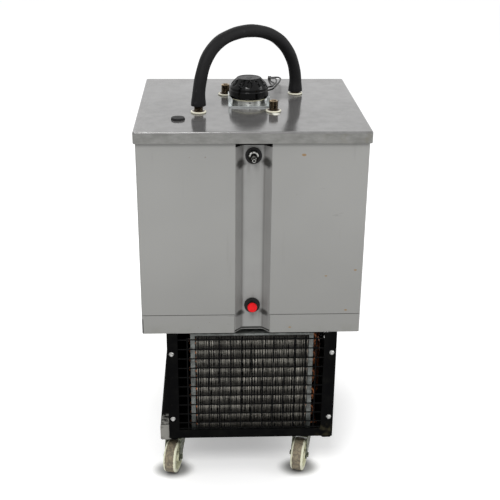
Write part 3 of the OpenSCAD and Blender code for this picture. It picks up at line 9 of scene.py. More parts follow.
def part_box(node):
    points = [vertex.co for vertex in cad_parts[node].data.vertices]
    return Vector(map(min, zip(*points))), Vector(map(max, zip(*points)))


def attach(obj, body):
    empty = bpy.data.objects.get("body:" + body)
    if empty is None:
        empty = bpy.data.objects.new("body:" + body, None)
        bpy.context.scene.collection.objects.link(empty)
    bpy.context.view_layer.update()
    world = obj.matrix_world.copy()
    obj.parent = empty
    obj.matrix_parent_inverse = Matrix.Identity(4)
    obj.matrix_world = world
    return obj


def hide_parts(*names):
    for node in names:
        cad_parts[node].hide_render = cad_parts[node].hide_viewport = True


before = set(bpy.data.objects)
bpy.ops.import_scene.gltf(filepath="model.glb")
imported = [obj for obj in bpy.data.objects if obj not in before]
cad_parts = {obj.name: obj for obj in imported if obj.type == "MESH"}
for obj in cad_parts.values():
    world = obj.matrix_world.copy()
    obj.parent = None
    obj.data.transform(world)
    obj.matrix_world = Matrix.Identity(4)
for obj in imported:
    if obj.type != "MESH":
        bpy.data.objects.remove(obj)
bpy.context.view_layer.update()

# The camera stands a little left of the chiller and looks down on its lid,
# as the photograph does, with the upright edges drawing together downwards.
yaw, pitch, roll = math.radians(2.59), math.radians(23.04), math.radians(0.56)
ahead = Vector((math.sin(yaw) * math.cos(pitch), math.cos(yaw) * math.cos(pitch), -math.sin(pitch)))
level = Vector((math.cos(yaw), -math.sin(yaw), 0.0))
over = level.cross(ahead)
side = math.cos(roll) * level + math.sin(roll) * over
top = math.cos(roll) * over - math.sin(roll) * level
camera = bpy.data.objects.new("camera", bpy.data.cameras.new("camera"))
sensor, focal_pixels, image_pixels = 36, 931.35, 500
camera.data.sensor_width = sensor
camera.data.lens = sensor * focal_pixels / image_pixels
camera.data.clip_start, camera.data.clip_end = 0.05, 30
turned = Matrix((side, top, -ahead)).transposed().to_4x4()
camera.matrix_world = Matrix.Translation((-0.0905, -2.1425, 1.4102)) @ turned
bpy.context.scene.collection.objects.link(camera)
bpy.context.scene.camera = camera


class Finish:
    """One output of a node in a material. Arithmetic on it adds Math nodes to the same material."""

    def __init__(self, tree, out=None):
        self.tree, self.out = tree, out

    def node(self, kind, settings, sockets, result=0):
        """Adds a node: its settings first, then the value or the link of each of its sockets."""
        made = self.tree.nodes.new("ShaderNode" + kind)
        for name, value in settings.items():
            setattr(made, name, value)
        for key, value in sockets.items():
            if isinstance(value, Finish):
                self.tree.links.new(value.out, made.inputs[key])
            else:
                made.inputs[key].default_value = value
        return Finish(self.tree, made.outputs[result])

    def maths(self, operation, first, second=0.0):
        return self.node("Math", {"operation": operation}, {0: first, 1: second})

    def __add__(self, other):
        return self.maths("ADD", self, other)

    def __sub__(self, other):
        return self.maths("SUBTRACT", self, other)

    def __rsub__(self, other):
        return self.maths("SUBTRACT", other, self)

    def __mul__(self, other):
        return self.maths("MULTIPLY", self, other)

    __radd__ = __add__

    def most(self, other):
        return self.maths("MAXIMUM", self, other)

    def place(self, stretch=(1, 1, 1)):
        """The point on the piece, in metres, stretched along each axis."""
        here = self.node("TexCoord", {}, {}, 3)
        return self.node("VectorMath", {"operation": "MULTIPLY"}, {0: here, 1: stretch})

    def along(self, axis):
        """One coordinate of the point on the piece, in metres."""
        return self.node("SeparateXYZ", {}, {0: self.node("TexCoord", {}, {}, 3)}, axis)

    def gap(self, point, stretch=(1, 1, 1)):
        """The distance of the point on the piece from another, both stretched along each axis."""
        other = tuple(part * scale for part, scale in zip(point, stretch))
        return self.node("VectorMath", {"operation": "DISTANCE"}, {0: self.place(stretch), 1: other}, 1)

    def off(self, middle):
        """How far this is from a value, to either side."""
        return self.maths("ABSOLUTE", self - middle)

    def cloud(self, scale, stretch=(1, 1, 1), detail=3.0, rough=0.55):
        """Noise from 0 to 1, with features of about 1 / scale metres."""
        return self.node("TexNoise", {}, {"Vector": self.place(stretch), "Scale": scale,
                                          "Detail": detail, "Roughness": rough})

    def step(self, low, high):
        """Rises smoothly from 0 at low to 1 at high."""
        return self.node("MapRange", {"interpolation_type": "SMOOTHSTEP"},
                         {0: self, 1: low, 2: high, 3: 0.0, 4: 1.0})

    def mix(self, first, second):
        """The first colour where this is 0, the second where it is 1."""
        pair = {0: self}
        for key, colour in ((6, first), (7, second)):
            pair[key] = colour if isinstance(colour, Finish) else (*colour, 1)
        return self.node("Mix", {"data_type": "RGBA"}, pair, 2)


# The world and the floor are a plain pale studio: even light from all round,
# and a white ground that keeps the chiller's soft shadow.
def new_piece(name, points, faces):
    """A mesh of points and faces, as an object in the scene."""
    mesh = bpy.data.meshes.new(name)
    mesh.from_pydata(points, [], faces)
    piece = bpy.data.objects.new(name, mesh)
    bpy.context.scene.collection.objects.link(piece)
    return piece


def seen_ray(finish):
    """1 on rays from the camera, off a mirror or through glass, 0 on the rays that light the pieces."""
    rays = finish.node("LightPath", {}, {}).out.node
    direct, mirrored, through = (Finish(finish.tree, rays.outputs[f"Is {kind} Ray"])
                                 for kind in ("Camera", "Glossy", "Transmission"))
    return direct.most(mirrored).most(through)


world = bpy.data.worlds.new("studio")
bpy.context.scene.world = world
world.use_nodes = True
world.node_tree.nodes.clear()
air = Finish(world.node_tree)
glow = air.node("Background", {}, {"Color": (1, 1, 1, 1), "Strength": seen_ray(air) * 0.45 + 0.55})
world.node_tree.links.new(glow.out, world.node_tree.nodes.new("ShaderNodeOutputWorld").inputs[0])

floor_span, floor_level = 14.0, -0.0005
corners = [(x * floor_span, y * floor_span, floor_level) for x, y in ((-1, -1), (1, -1), (1, 1), (-1, 1))]
floor = new_piece("floor", corners, [(0, 1, 2, 3)])
ground = bpy.data.materials.new("pale floor")
ground.use_nodes = True
ground.node_tree.nodes.clear()
base = Finish(ground.node_tree)
# A painted contact shadow darkens the floor where the front wheels stand: 1 at a wheel's foot, 0 from some 60
# mm off
wheel_shadow_paint = None
for side in ("left", "right"):
    low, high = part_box(f"front_{side}_wheel")
    away = base.gap(((low[0] + high[0]) / 2, (low[1] + high[1]) / 2, 0), (1, 1.3, 0))
    near = (0.062 - away).step(0, 0.04)
    wheel_shadow_paint = near if wheel_shadow_paint is None else wheel_shadow_paint.most(near)
pale, dark = (base.node("BsdfDiffuse", {}, {"Color": (shade, shade, shade, 1)}) for shade in (0.9, 0.2))
matt = base.node("MixShader", {}, {0: wheel_shadow_paint * 0.8, 1: pale, 2: dark})
# The glow that takes the floor to white is weaker under the chiller, where its shadow is kept
clear = base.gap((0, -0.025, 0), (1, 0.8, 0)).step(0.2, 0.5) * (1 - wheel_shadow_paint)
lit = base.node("Emission", {}, {"Color": (1, 1, 1, 1), "Strength": 0.5})
white = base.node("AddShader", {}, {0: matt, 1: lit})
share = seen_ray(base) * (clear * 0.35 + 0.65) * (1 - wheel_shadow_paint)
shown = base.node("MixShader", {}, {0: share, 1: matt, 2: white})
ground.node_tree.links.new(shown.out, ground.node_tree.nodes.new("ShaderNodeOutputMaterial").inputs[0])
floor.data.materials.append(ground)

for name, spot, aim, width, power in (
        ("lamp over the front", (-0.6, -2.6, 3.2), (0, 0, 0.6), 1.2, 62),
        ("lamp at the right", (2.8, -0.4, 2.4), (0, 0, 0.6), 1.4, 26),
        ("lamp at the rear", (-1.2, 2.4, 2.8), (0, 0, 0.6), 2.0, 24)):
    lamp = bpy.data.lights.new(name, "AREA")
    lamp.size, lamp.energy = width, power
    holder = bpy.data.objects.new(name, lamp)
    holder.location = spot
    holder.rotation_euler = (Vector(aim) - Vector(spot)).to_track_quat("-Z", "Y").to_euler()
    bpy.context.scene.collection.objects.link(holder)
bpy.context.scene.view_settings.view_transform = "Standard"


# Two thin black motor wires come out of the cap's side and run back over the lid's rear edge,
# where they turn down and in to a grommet. They are plastic-covered copper, springy and a little apart.
def rounded_route(corners, reach, steps):
    """Each corner becomes the curve (1-s)^2 a + 2s(1-s) c + s^2 b, from reach before it to reach after it."""
    reach = reach[:, None]
    before = corners[:-2] - corners[1:-1]
    after = corners[2:] - corners[1:-1]
    a = corners[1:-1] + reach * before / np.linalg.norm(before, axis=1, keepdims=True)
    b = corners[1:-1] + reach * after / np.linalg.norm(after, axis=1, keepdims=True)
    s = np.linspace(0, 1, steps + 1)[None, :, None]
    bends = (1 - s) ** 2 * a[:, None] + 2 * s * (1 - s) * corners[1:-1, None] + s ** 2 * b[:, None]
    return np.vstack((corners[:1], bends.reshape(-1, 3), corners[-1:]))


def frames_along(path, start):
    """Tangents of the path, and a normal carried along it: each keeps what is square to its tangent."""
    tangents = np.gradient(path, axis=0)
    tangents /= np.linalg.norm(tangents, axis=1, keepdims=True)
    normals = np.empty_like(path)
    normal = np.array(start, float)
    for i, tangent in enumerate(tangents):
        normal = normal - tangent * normal.dot(tangent)
        normal /= np.linalg.norm(normal)
        normals[i] = normal
    return tangents, normals


def surface(name, points, closed_rows=False, closed_ends=False, sharp=50):
    """A grid of points, row after row, becomes a skin of four-sided faces. Closed rows join their last
    point to their first, closed ends join the last row to the first, and equal points are made one."""
    rows, columns = points.shape[:2]
    i, j = np.meshgrid(np.arange(rows if closed_ends else rows - 1),
                       np.arange(columns if closed_rows else columns - 1), indexing="ij")
    below, right = (i + 1) % rows, (j + 1) % columns
    faces = np.stack((i * columns + j, i * columns + right, below * columns + right, below * columns + j), -1)
    piece = new_piece(name, points.reshape(-1, 3).tolist(), faces.reshape(-1, 4).tolist())
    joined = bmesh.new()
    joined.from_mesh(piece.data)
    bmesh.ops.remove_doubles(joined, verts=joined.verts, dist=1e-6)
    bmesh.ops.recalc_face_normals(joined, faces=joined.faces)
    joined.to_mesh(piece.data)
    joined.free()
    piece.data.shade_smooth()
    piece.data.set_sharp_from_angle(angle=math.radians(sharp))
    return piece


def tube(name, path, radius, sides):
    """Rings of path + radius (cos t normal + sin t binormal), a ring for each point of the path."""
    tangents, normals = frames_along(path, (0, 0, 1))
    binormals = np.cross(tangents, normals)
    turn = np.linspace(0, 2 * np.pi, sides, endpoint=False)[None, :, None]
    rings = path[:, None] + radius * (np.cos(turn) * normals[:, None] + np.sin(turn) * binormals[:, None])
    first, last = (np.repeat(path[k][None, None], sides, 1) for k in (0, -1))
    return surface(name, np.concatenate((first, rings, last)), closed_rows=True)


def new_finish(name, roughness, metallic=0.0, **extra):
    """A material with one Principled shader, and the pattern that grows in it."""
    made = bpy.data.materials.new(name)
    made.use_nodes = True
    shader = made.node_tree.nodes["Principled BSDF"]
    shader.inputs["Roughness"].default_value = roughness
    shader.inputs["Metallic"].default_value = metallic
    for key, value in extra.items():
        shader.inputs[key.replace("_", " ")].default_value = value
    return made, Finish(made.node_tree)


def lay(made, bump=None, depth=0.0002, **looks):
    """Feeds patterns into the shader's sockets, and a height into its normal through one bump."""
    shader = made.node_tree.nodes["Principled BSDF"]
    for key, value in looks.items():
        made.node_tree.links.new(value.out, shader.inputs[key.replace("_", " ")])
    if bump is not None:
        raised = bump.node("Bump", {}, {"Strength": 1.0, "Distance": depth, "Height": bump})
        made.node_tree.links.new(raised.out, shader.inputs["Normal"])
    return made


wire_r = 0.002
wire_cover, pattern = new_finish("wire cover", 0.4, Specular_IOR_Level=0.12)
lay(wire_cover, pattern.cloud(900) * 0.5, 0.0001,
    Base_Color=pattern.cloud(160).step(0.3, 0.8).mix((0.003, 0.003, 0.0033), (0.009, 0.0087, 0.0083)))
bend_reach = np.array((14, 25, 20, 13, 8, 5.1, 5.1, 5.1)) / 1000
for name, corners in (
        ("upper_motor_wire", [
            (33, 14, 906), (56, 32, 904), (73, 110, 898), (74, 165, 894), (68, 210, 884),
            (62, 241, 879), (62, 257, 879), (62, 262, 870), (62, 257, 861), (62, 250, 861)]),
        ("lower_motor_wire", [
            (34, 13, 898), (58, 34, 897), (80, 120, 895), (89, 192, 888), (84, 224, 884),
            (66, 241, 879), (66, 257, 879), (66, 262, 870), (66, 257, 861), (66, 250, 861)])):
    route = rounded_route(np.array(corners) / 1000, bend_reach, 8)
    wire = tube(name, route, wire_r, 12)
    wire.data.materials.append(wire_cover)
    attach(wire, "lid_unit")
    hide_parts("motor_wires")
    run = float(np.linalg.norm(np.diff(route, axis=0), axis=1).sum())


def dress(made, *names):
    """Gives a finish to carried-over nodes."""
    for name in names:
        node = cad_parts[name]
        if not node.material_slots:
            node.data.materials.append(made)
        for place in node.material_slots:
            place.material = made


# The base frame is welded from painted steel tube, with cross rails, corner uprights and a floor sheet.
# Its black paint is dusty, chipped, and worn to bare grey at the left tube's front end.
def black_paint(name, shine, dust):
    """Black paint: grey dust where a cloud is thick, small chips, a faint grain."""
    made, pattern = new_finish(name, shine, Specular_IOR_Level=0.05)
    grey = pattern.cloud(28, detail=5).step(0.42, 0.78)
    chips = pattern.cloud(170, detail=4).step(0.66, 0.72)
    tone = (grey * dust).mix((0.002, 0.002, 0.0022), (0.03, 0.028, 0.024))
    tone = chips.mix(tone, (0.01, 0.009, 0.008))
    return lay(made, pattern.cloud(700) + chips * 0.6, 0.00012, Base_Color=tone,
               Roughness=grey * 0.3 + shine)


frame_paint, pattern = new_finish("frame paint", 0.6, Specular_IOR_Level=0.02)
height = pattern.along(2)
dust = pattern.cloud(24, detail=5).step(0.4, 0.75)
chips = pattern.cloud(150, detail=5, rough=0.65).step(0.62, 0.68)
front_end = (-0.239 - pattern.along(1)).step(0, 0.003) * (-0.19 - pattern.along(0)).step(0, 0.002)
rail_edge = (height - 0.1415).step(0, 0.003) * (0.1475 - height).step(0, 0.001)
rail_edge = rail_edge * (-0.185 - pattern.along(0)).step(0, 0.004) * (-0.19 - pattern.along(1)).step(0, 0.012)
worn = (front_end * pattern.cloud(60, detail=4).step(0.2, 0.5)).most(
    rail_edge * pattern.cloud(90).step(0.35, 0.6))
paint = dust.mix((0.0012, 0.0012, 0.0013), (0.004, 0.0037, 0.0032))
paint = chips.mix(paint, (0.018, 0.015, 0.011))
paint = worn.mix(paint, (0.26, 0.255, 0.235))
lay(frame_paint, pattern.cloud(600) + chips * 0.5, 0.00015, Base_Color=paint, Roughness=dust * 0.2 + 0.6)
dress(frame_paint, "base_frame", "base_floor")

cover_paint = black_paint("cover paint", 0.5, 0.3)
dress(cover_paint, "left_cover", "right_cover", "rear_cover")
grille_paint, pattern = new_finish("grille paint", 0.45, Specular_IOR_Level=0.02)
chips = pattern.cloud(170, detail=4).step(0.66, 0.72)
low_corner = (pattern.along(0) - 0.15).step(0, 0.03) * (0.16 - pattern.along(2)).step(0, 0.03)
soil = low_corner * pattern.cloud(70, detail=5).step(0.4, 0.7)
paint = pattern.cloud(28, detail=5).step(0.42, 0.78).mix((0.0018, 0.0018, 0.002), (0.005, 0.005, 0.0045))
paint = (soil * 0.8).mix(chips.mix(paint, (0.01, 0.009, 0.008)), (0.04, 0.035, 0.02))
lay(grille_paint, pattern.cloud(700) + chips * 0.6, 0.00012, Base_Color=paint)
dress(grille_paint, "grille_frame")

# Behind the frame's window a mesh of black-painted wires is spot-welded at each crossing: upright wires
# in front, level wires behind them, and a border wire along the foot.
mesh_wire, mesh_pitch, mesh_side = 0.0015, 0.025, 0.172
upright_y, upright_foot, upright_head, first_upright = -0.2431, 0.1315, 0.3825, -0.148
level_y, first_level, border_level = -0.24118, 0.37625, 0.1351
uprights = [first_upright + k * mesh_pitch for k in range(13)]
levels = [first_level - k * mesh_pitch for k in range(10)] + [border_level]
wires = [((x, upright_y, upright_foot), (x, upright_y, upright_head)) for x in uprights]
wires += [((-mesh_side, level_y, z), (mesh_side, level_y, z)) for z in levels]
sides, stops = 10, 8
turn = np.linspace(0, 2 * np.pi, sides, endpoint=False)[:, None]
wire_points, wire_faces = [], []
for start, end in np.array(wires):
    across = np.array((1.0, 0, 0) if end[2] > start[2] else (0, 0, 1.0))
    straight = (end - start) / np.linalg.norm(end - start)
    circle = mesh_wire * (np.cos(turn) * across + np.sin(turn) * np.cross(straight, across))
    first = len(wire_points) * sides
    last = first + (stops - 1) * sides
    wire_points += [start + share * (end - start) + circle for share in np.linspace(0, 1, stops)]
    for ring in range(first, last, sides):
        wire_faces += [(ring + a, ring + (a + 1) % sides, ring + sides + (a + 1) % sides, ring + sides + a)
                       for a in range(sides)]
    wire_faces += [tuple(range(first + sides - 1, first - 1, -1)), tuple(range(last, last + sides))]
welded_mesh = new_piece("welded_mesh", np.concatenate(wire_points).tolist(), wire_faces)
welded_mesh.data.shade_smooth()
welded_mesh.data.set_sharp_from_angle(angle=math.radians(50))
welded_mesh.data.materials.append(black_paint("wire paint", 0.5, 0.06))
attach(welded_mesh, "chassis")
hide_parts("wire_grille")

# Four zinc screws with round slotted heads hold the grille frame to the uprights.
zinc, pattern = new_finish("bright zinc", 0.3, 1.0)
stain = pattern.cloud(260, detail=4).step(0.4, 0.8)
lay(zinc, pattern.cloud(1200), 0.00005, Base_Color=stain.mix((0.36, 0.36, 0.35), (0.14, 0.135, 0.125)),
    Roughness=stain * 0.3 + 0.28)
dress(zinc, "grille_screws")

# The condenser is a pack of thin aluminium fins on copper tubes, in a galvanised frame. Dust has settled
# in it, the fins' front edges are combed and bent, and the tubes' bends show at both sides.
galvanised, pattern = new_finish("galvanised sheet", 0.42, 0.4)
spangle = pattern.node("TexVoronoi", {}, {"Vector": pattern.place(), "Scale": 150.0}, 1)
grey = pattern.node("RGBToBW", {}, {0: spangle}).step(0.1, 0.9)
grime = pattern.cloud(40, detail=5).step(0.45, 0.75)
lay(galvanised, pattern.cloud(500), 0.00008,
    Base_Color=(grime * 0.6).mix(grey.mix((0.11, 0.118, 0.112), (0.2, 0.212, 0.203)), (0.05, 0.047, 0.04)),
    Roughness=grey * 0.12 + grime * 0.3 + 0.34)
dress(galvanised, "condenser_frame")

copper, pattern = new_finish("copper tube", 0.36, 0.9)
dull = pattern.cloud(70, detail=5).step(0.35, 0.75)
lay(copper, pattern.cloud(500), 0.0001, Base_Color=dull.mix((0.36, 0.12, 0.045), (0.06, 0.028, 0.017)),
    Roughness=dull * 0.3 + 0.3)
dress(copper, "condenser_tubes", "refrigerant_lines", "filter_drier")

low, high = (np.array(corner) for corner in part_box("condenser_fins"))
fin_count, fin_rows, half_sheet, side_margin = 74, 66, 0.0005, 0.0012
lean_spread, ripple_step, most_bent, set_back = 0.0005, 0.00026, 0.0013, 0.0003
rng = np.random.default_rng(7)
across = np.linspace(low[0] + side_margin, high[0] - side_margin, fin_count)
up = np.linspace(low[2], high[2], fin_rows)
# Each fin is a thin sheet whose front edge wanders: x + lean + ripple(z)
lean = rng.normal(0, lean_spread, (fin_count, 1))
ripple = np.cumsum(rng.normal(0, ripple_step, (fin_count, fin_rows)), 1)
ripple -= np.linspace(0, 1, fin_rows)[None] * ripple[:, -1:]
edge = across[:, None] + np.clip(lean + ripple, -most_bent, most_bent)
depth = low[1] + np.abs(rng.normal(0, set_back, (fin_count, fin_rows)))
grid = np.empty((fin_count, fin_rows, 4, 3))
grid[..., 0, 0], grid[..., 1, 0] = edge - half_sheet, edge + half_sheet
grid[..., 2, 0], grid[..., 3, 0] = across[:, None] + half_sheet, across[:, None] - half_sheet
grid[..., 0:2, 1] = depth[..., None]
grid[..., 2:4, 1] = high[1]
grid[..., 2] = up[None, :, None]
k, r = np.meshgrid(np.arange(fin_count), np.arange(fin_rows - 1), indexing="ij")
first = (k * fin_rows + r) * 4
walls = np.stack([np.stack((first + a, first + (a + 1) % 4, first + 4 + (a + 1) % 4, first + 4 + a), -1)
                  for a in range(4)], 2).reshape(-1, 4)
ends = np.arange(fin_count)[:, None] * fin_rows * 4
caps = np.concatenate((ends + [3, 2, 1, 0], ends + (fin_rows - 1) * 4 + [0, 1, 2, 3]))
fins = new_piece("fin_pack", grid.reshape(-1, 3).tolist(), np.concatenate((walls, caps)).tolist())
fin_metal, pattern = new_finish("fin metal", 0.42, 0.3)
# Light from above catches the upper part of each space between two rows of tubes
top_row, rows_per_metre = 0.36, 40
below_top = top_row - pattern.along(2)
fall = below_top * rows_per_metre
fall = fall.maths("FRACT", fall)
lit_part = fall.step(0.0, 0.08) * (0.95 - fall).step(0.15, 0.8) * below_top.step(0, 0.001)
# Painted shade: a few millimetres behind their front edges the fins turn nearly black
depth_shade_paint = (pattern.along(1) + 0.2135).step(0, 0.004)
streak = pattern.cloud(230, (1, 1, 0.1), 4).step(0.36, 0.66)
soot = pattern.cloud(14, detail=5).step(0.35, 0.7)
metal = (lit_part * 0.9 + 0.08).mix((0.016, 0.0145, 0.012), (0.62, 0.59, 0.51))
metal = (streak * 0.7).mix(metal, (0.03, 0.028, 0.023))
metal = (soot * 0.3).mix(metal, (0.03, 0.026, 0.021))
metal = depth_shade_paint.mix(metal, (0.006, 0.0055, 0.005))
lay(fin_metal, Base_Color=metal, Roughness=streak * 0.25 + 0.36)
fins.data.materials.append(fin_metal)
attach(fins, "chassis")
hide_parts("condenser_fins")

# The fins' punched collars follow one another along each copper tube,
# so that the tubes don't show between the fins.
collar_metal, pattern = new_finish("collar metal", 0.5, 0.2)
cloudy = pattern.cloud(120, detail=4).step(0.35, 0.7)
lay(collar_metal, Base_Color=cloudy.mix((0.1, 0.095, 0.083), (0.03, 0.028, 0.024)),
    Roughness=cloudy * 0.2 + 0.4)
collar_r, first_row, row_pitch = 0.0049, 0.371, 0.025
sleeve_line = np.stack((np.linspace(low[0] + 0.001, high[0] - 0.001, 9),) * 3, 1) * (1, 0, 0)
for column, y in (("front", -0.2005), ("rear", -0.1805)):
    for k in range(11):
        line = sleeve_line + (0, y, first_row - row_pitch * k)
        collars = tube(f"{column}_tube_collars_{k + 1}", line, collar_r, 12)
        collars.data.materials.append(collar_metal)
        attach(collars, "chassis")
        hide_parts("condenser_fins")

# Behind the condenser a pressed fan on a small motor draws air through it, past a welded compressor shell
# on rubber feet, with its terminal cover, a capacitor, and a control box with a thermostat.
dress(black_paint("motor paint", 0.38, 0.6), "fan_shroud", "fan_motor", "compressor")
blade_metal, pattern = new_finish("blade metal", 0.34, 0.9)
film = pattern.cloud(60, detail=4).step(0.35, 0.8)
lay(blade_metal, pattern.cloud(800), 0.00006, Base_Color=film.mix((0.6, 0.6, 0.58), (0.28, 0.25, 0.2)),
    Roughness=film * 0.3 + 0.3)
dress(blade_metal, "fan_blades")
navy, pattern = new_finish("navy can", 0.32)
lay(navy, pattern.cloud(500), 0.00008,
    Base_Color=pattern.cloud(70).step(0.4, 0.8).mix((0.02, 0.028, 0.05), (0.06, 0.066, 0.075)))
dress(navy, "run_capacitor")


def moulded(name, colour, shine, grain=0.0001):
    """Moulded plastic or rubber: one colour clouded with dust, and a fine even grain."""
    made, pattern = new_finish(name, shine, Specular_IOR_Level=0.5 if max(colour) > 0.05 else 0.2)
    dusty = pattern.cloud(45, detail=4).step(0.4, 0.85)
    pale = tuple(0.7 * part + 0.02 for part in colour)
    return lay(made, pattern.cloud(1500, detail=1), grain, Base_Color=(dusty * 0.6).mix(colour, pale),
               Roughness=dusty * 0.2 + shine)


dress(moulded("grey box plastic", (0.09, 0.095, 0.1), 0.5), "control_box")
dress(moulded("black plastic", (0.007, 0.007, 0.0075), 0.4),
      "terminal_cover", "thermostat_knob", "mains_gland")
dress(moulded("black rubber", (0.006, 0.006, 0.006), 0.6, 0.0002), "compressor_feet", "fitting_grommets",
      "lid_seal", "lid_plug", "lead_grommet")

# Each castor has a pressed, olive-passivated zinc fork on a greased race, and a cream nylon wheel
# whose tread has gone brown and grey with floor dirt between its cream edges.
olive, pattern = new_finish("olive zinc", 0.42, 0.7)
blotch = pattern.cloud(120, detail=5).step(0.38, 0.66)
mud = pattern.cloud(45, detail=5).step(0.5, 0.72)
lay(olive, pattern.cloud(500), 0.00015,
    Base_Color=(mud * 0.8).mix(blotch.mix((0.15, 0.16, 0.115), (0.06, 0.066, 0.042)), (0.03, 0.025, 0.018)),
    Roughness=blotch * 0.2 + mud * 0.2 + 0.36)
castor_turns = {"front_left": -14, "front_right": -17, "rear_left": 20, "rear_right": 164}
dress(olive, "castor_plates", *[name + "_fork" for name in castor_turns])

nylon, pattern = new_finish("wheel nylon", 0.42)
worn_in = pattern.node("UVMap", {}, {})
over_tread = pattern.node("SeparateXYZ", {}, {0: worn_in}, 1)
dirt = pattern.cloud(160, detail=6, rough=0.65).step(0.36, 0.62)
tread = (0.72 + dirt * 0.06 - over_tread).step(0, 0.08)
smear = pattern.cloud(60, detail=5).step(0.5, 0.8)
cream = (smear * 0.4).mix((0.74, 0.74, 0.56), (0.36, 0.33, 0.22))
brown = dirt.mix((0.27, 0.225, 0.15), (0.13, 0.11, 0.078))
lay(nylon, pattern.cloud(500) + dirt * 0.4, 0.0003, Base_Color=(tread * (1 - smear * 0.2)).mix(cream, brown),
    Roughness=tread * 0.35 + 0.4)

wheel_profile = np.array([
    (4.06, -16.7), (12, -16.7), (12, -5.5), (15, -4.8), (29, -4.8), (32, -6), (32, -14.2), (33, -15),
    (36.4, -15), (38.2, -14.4), (39.4, -12.6), (39.9, -9), (40, -4), (40, 4), (39.9, 9), (39.4, 12.6),
    (38.2, 14.4), (36.4, 15), (33, 15), (32, 14.2), (32, 6), (29, 4.8), (15, 4.8), (12, 5.5), (12, 16.7),
    (4.06, 16.7), (4.06, -16.7)]) / 1000
hub_to_tread, half_tread = 0.0345, 0.015
spin = np.linspace(0, 2 * np.pi, 97)[:, None, None]
for name, turn in castor_turns.items():
    low, high = (np.array(corner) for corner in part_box(name + "_wheel"))
    middle = (low + high) / 2
    turn = math.radians(turn)
    axle = np.array((math.cos(turn), math.sin(turn), 0.0))
    forward = np.array((-math.sin(turn), math.cos(turn), 0.0))
    outward = np.cos(spin) * forward + np.sin(spin) * np.array((0, 0, 1.0))
    rings = middle + wheel_profile[None, :, :1] * outward + wheel_profile[None, :, 1:] * axle
    wheel = surface(name + "_tyre", rings[:-1], closed_ends=True, sharp=38)
    layer = wheel.data.uv_layers.new(name="UVMap")
    spots = np.empty(len(wheel.data.vertices) * 3)
    wheel.data.vertices.foreach_get("co", spots)
    offset = (spots.reshape(-1, 3) - middle) @ axle
    reach = np.linalg.norm(spots.reshape(-1, 3) - middle - offset[:, None] * axle, axis=1)
    # The map is 0 along the middle of the tread and 1 at the wheel's sides and on its web
    tread_share = np.where(reach > hub_to_tread, np.minimum(np.abs(offset) / half_tread, 1), 1.0)
    corners = np.empty(len(wheel.data.loops), np.int64)
    wheel.data.loops.foreach_get("vertex_index", corners)
    layer.data.foreach_set("uv", np.stack((np.zeros(len(corners)), tread_share[corners]), 1).ravel())
    wheel.data.materials.append(nylon)
    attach(wheel, name + "_caster_wheel")
    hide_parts(name + "_wheel")

# The housing is folded from mild steel sheet and sprayed one flat mid grey: a bottom pan, two wrap-round
# skins and the channel for the hoses. It has a fine spray grain, drips, brown specks and scuffs, dirt at
# its foot, and painted shade that makes it a little darker towards its foot.
panel_paint, pattern = new_finish("panel paint", 0.5)
broad = pattern.cloud(3.2, detail=2).step(0.25, 0.75)
run_down = pattern.cloud(42, (1, 1, 0.1), 4).step(0.62, 0.8)
specks = pattern.cloud(210, detail=3).step(0.745, 0.76) * pattern.cloud(9).step(0.45, 0.6)
scuffs = pattern.cloud(60, (0.25, 1, 1), 5).step(0.66, 0.74) * pattern.cloud(5).step(0.45, 0.7)
foot = (0.425 - pattern.along(2)).step(0, 0.03) * pattern.cloud(30, detail=5).step(0.4, 0.8)
grey = broad.mix((0.268, 0.268, 0.258), (0.305, 0.304, 0.293))
grey = (run_down * 0.3).mix(grey, (0.2, 0.195, 0.18))
grey = (scuffs * 0.35).mix(grey, (0.13, 0.13, 0.125))
grey = (foot * 0.35).mix(grey, (0.16, 0.16, 0.12))
# Painted shade: the grey darkens smoothly from 0.72 m down towards the foot
grey = ((0.72 - pattern.along(2)).step(0, 0.42) * 0.42).mix(grey, (0.185, 0.184, 0.172))
grey = (specks * 0.9).mix(grey, (0.11, 0.05, 0.02))
# The pan's front left corner is black below the seam
black_corner = (-0.2462 - pattern.along(0)).step(0, 0.0008) * (0.433 - pattern.along(2)).step(0, 0.002)
black_corner = black_corner * (-0.2 - pattern.along(1)).step(0, 0.02)
grey = black_corner.mix(grey, (0.012, 0.012, 0.012))
# Five small brown marks on the front
panel_face = -0.244
for x, z, reach in ((0.109, 0.821, 0.0045), (0.233, 0.551, 0.003), (0.216, 0.451, 0.003),
                    (0.089, 0.408, 0.0028), (0.167, 0.537, 0.0025)):
    away = pattern.gap((x, panel_face, z), (1, 1, 1.8))
    mark = (reach + pattern.cloud(300) * 0.002 - away).step(0, 0.0012)
    grey = (mark * 0.8).mix(grey, (0.24, 0.13, 0.03))
lay(panel_paint, pattern.cloud(1100, detail=2) + pattern.cloud(24, detail=2) * 2.0, 0.0001, Base_Color=grey,
    Roughness=broad * 0.08 + run_down * 0.12 + 0.42)
dress(panel_paint, "bottom_pan", "left_casing", "right_casing")

channel_paint, pattern = new_finish("channel paint", 0.5)
channel_middle, fold_off, spout_level, drain_level = 0.002, 0.0235, 0.8, 0.45
across_channel = pattern.along(0).off(channel_middle)
# Painted shade: the channel darkens towards its sloping sides
side_shade_paint = across_channel.step(0.014, 0.03)
near_spout = (0.04 - pattern.along(2).off(spout_level)).step(0, 0.05)
near_drain = (0.05 - pattern.along(2).off(drain_level)).step(0, 0.06)
drips = pattern.cloud(60, (1, 1, 0.06), 4).step(0.5, 0.75)
grey = pattern.cloud(6).step(0.3, 0.7).mix((0.25, 0.25, 0.243), (0.3, 0.3, 0.29))
grey = (side_shade_paint * 0.45).mix(grey, (0.1, 0.095, 0.09))
# Painted shade: a dark line runs along each fold
fold_shade_paint = (0.0035 - across_channel.off(fold_off)).step(0, 0.003)
grey = (fold_shade_paint * 0.4).mix(grey, (0.06, 0.057, 0.052))
grey = ((near_spout + near_drain) * drips * 0.6).mix(grey, (0.09, 0.085, 0.08))
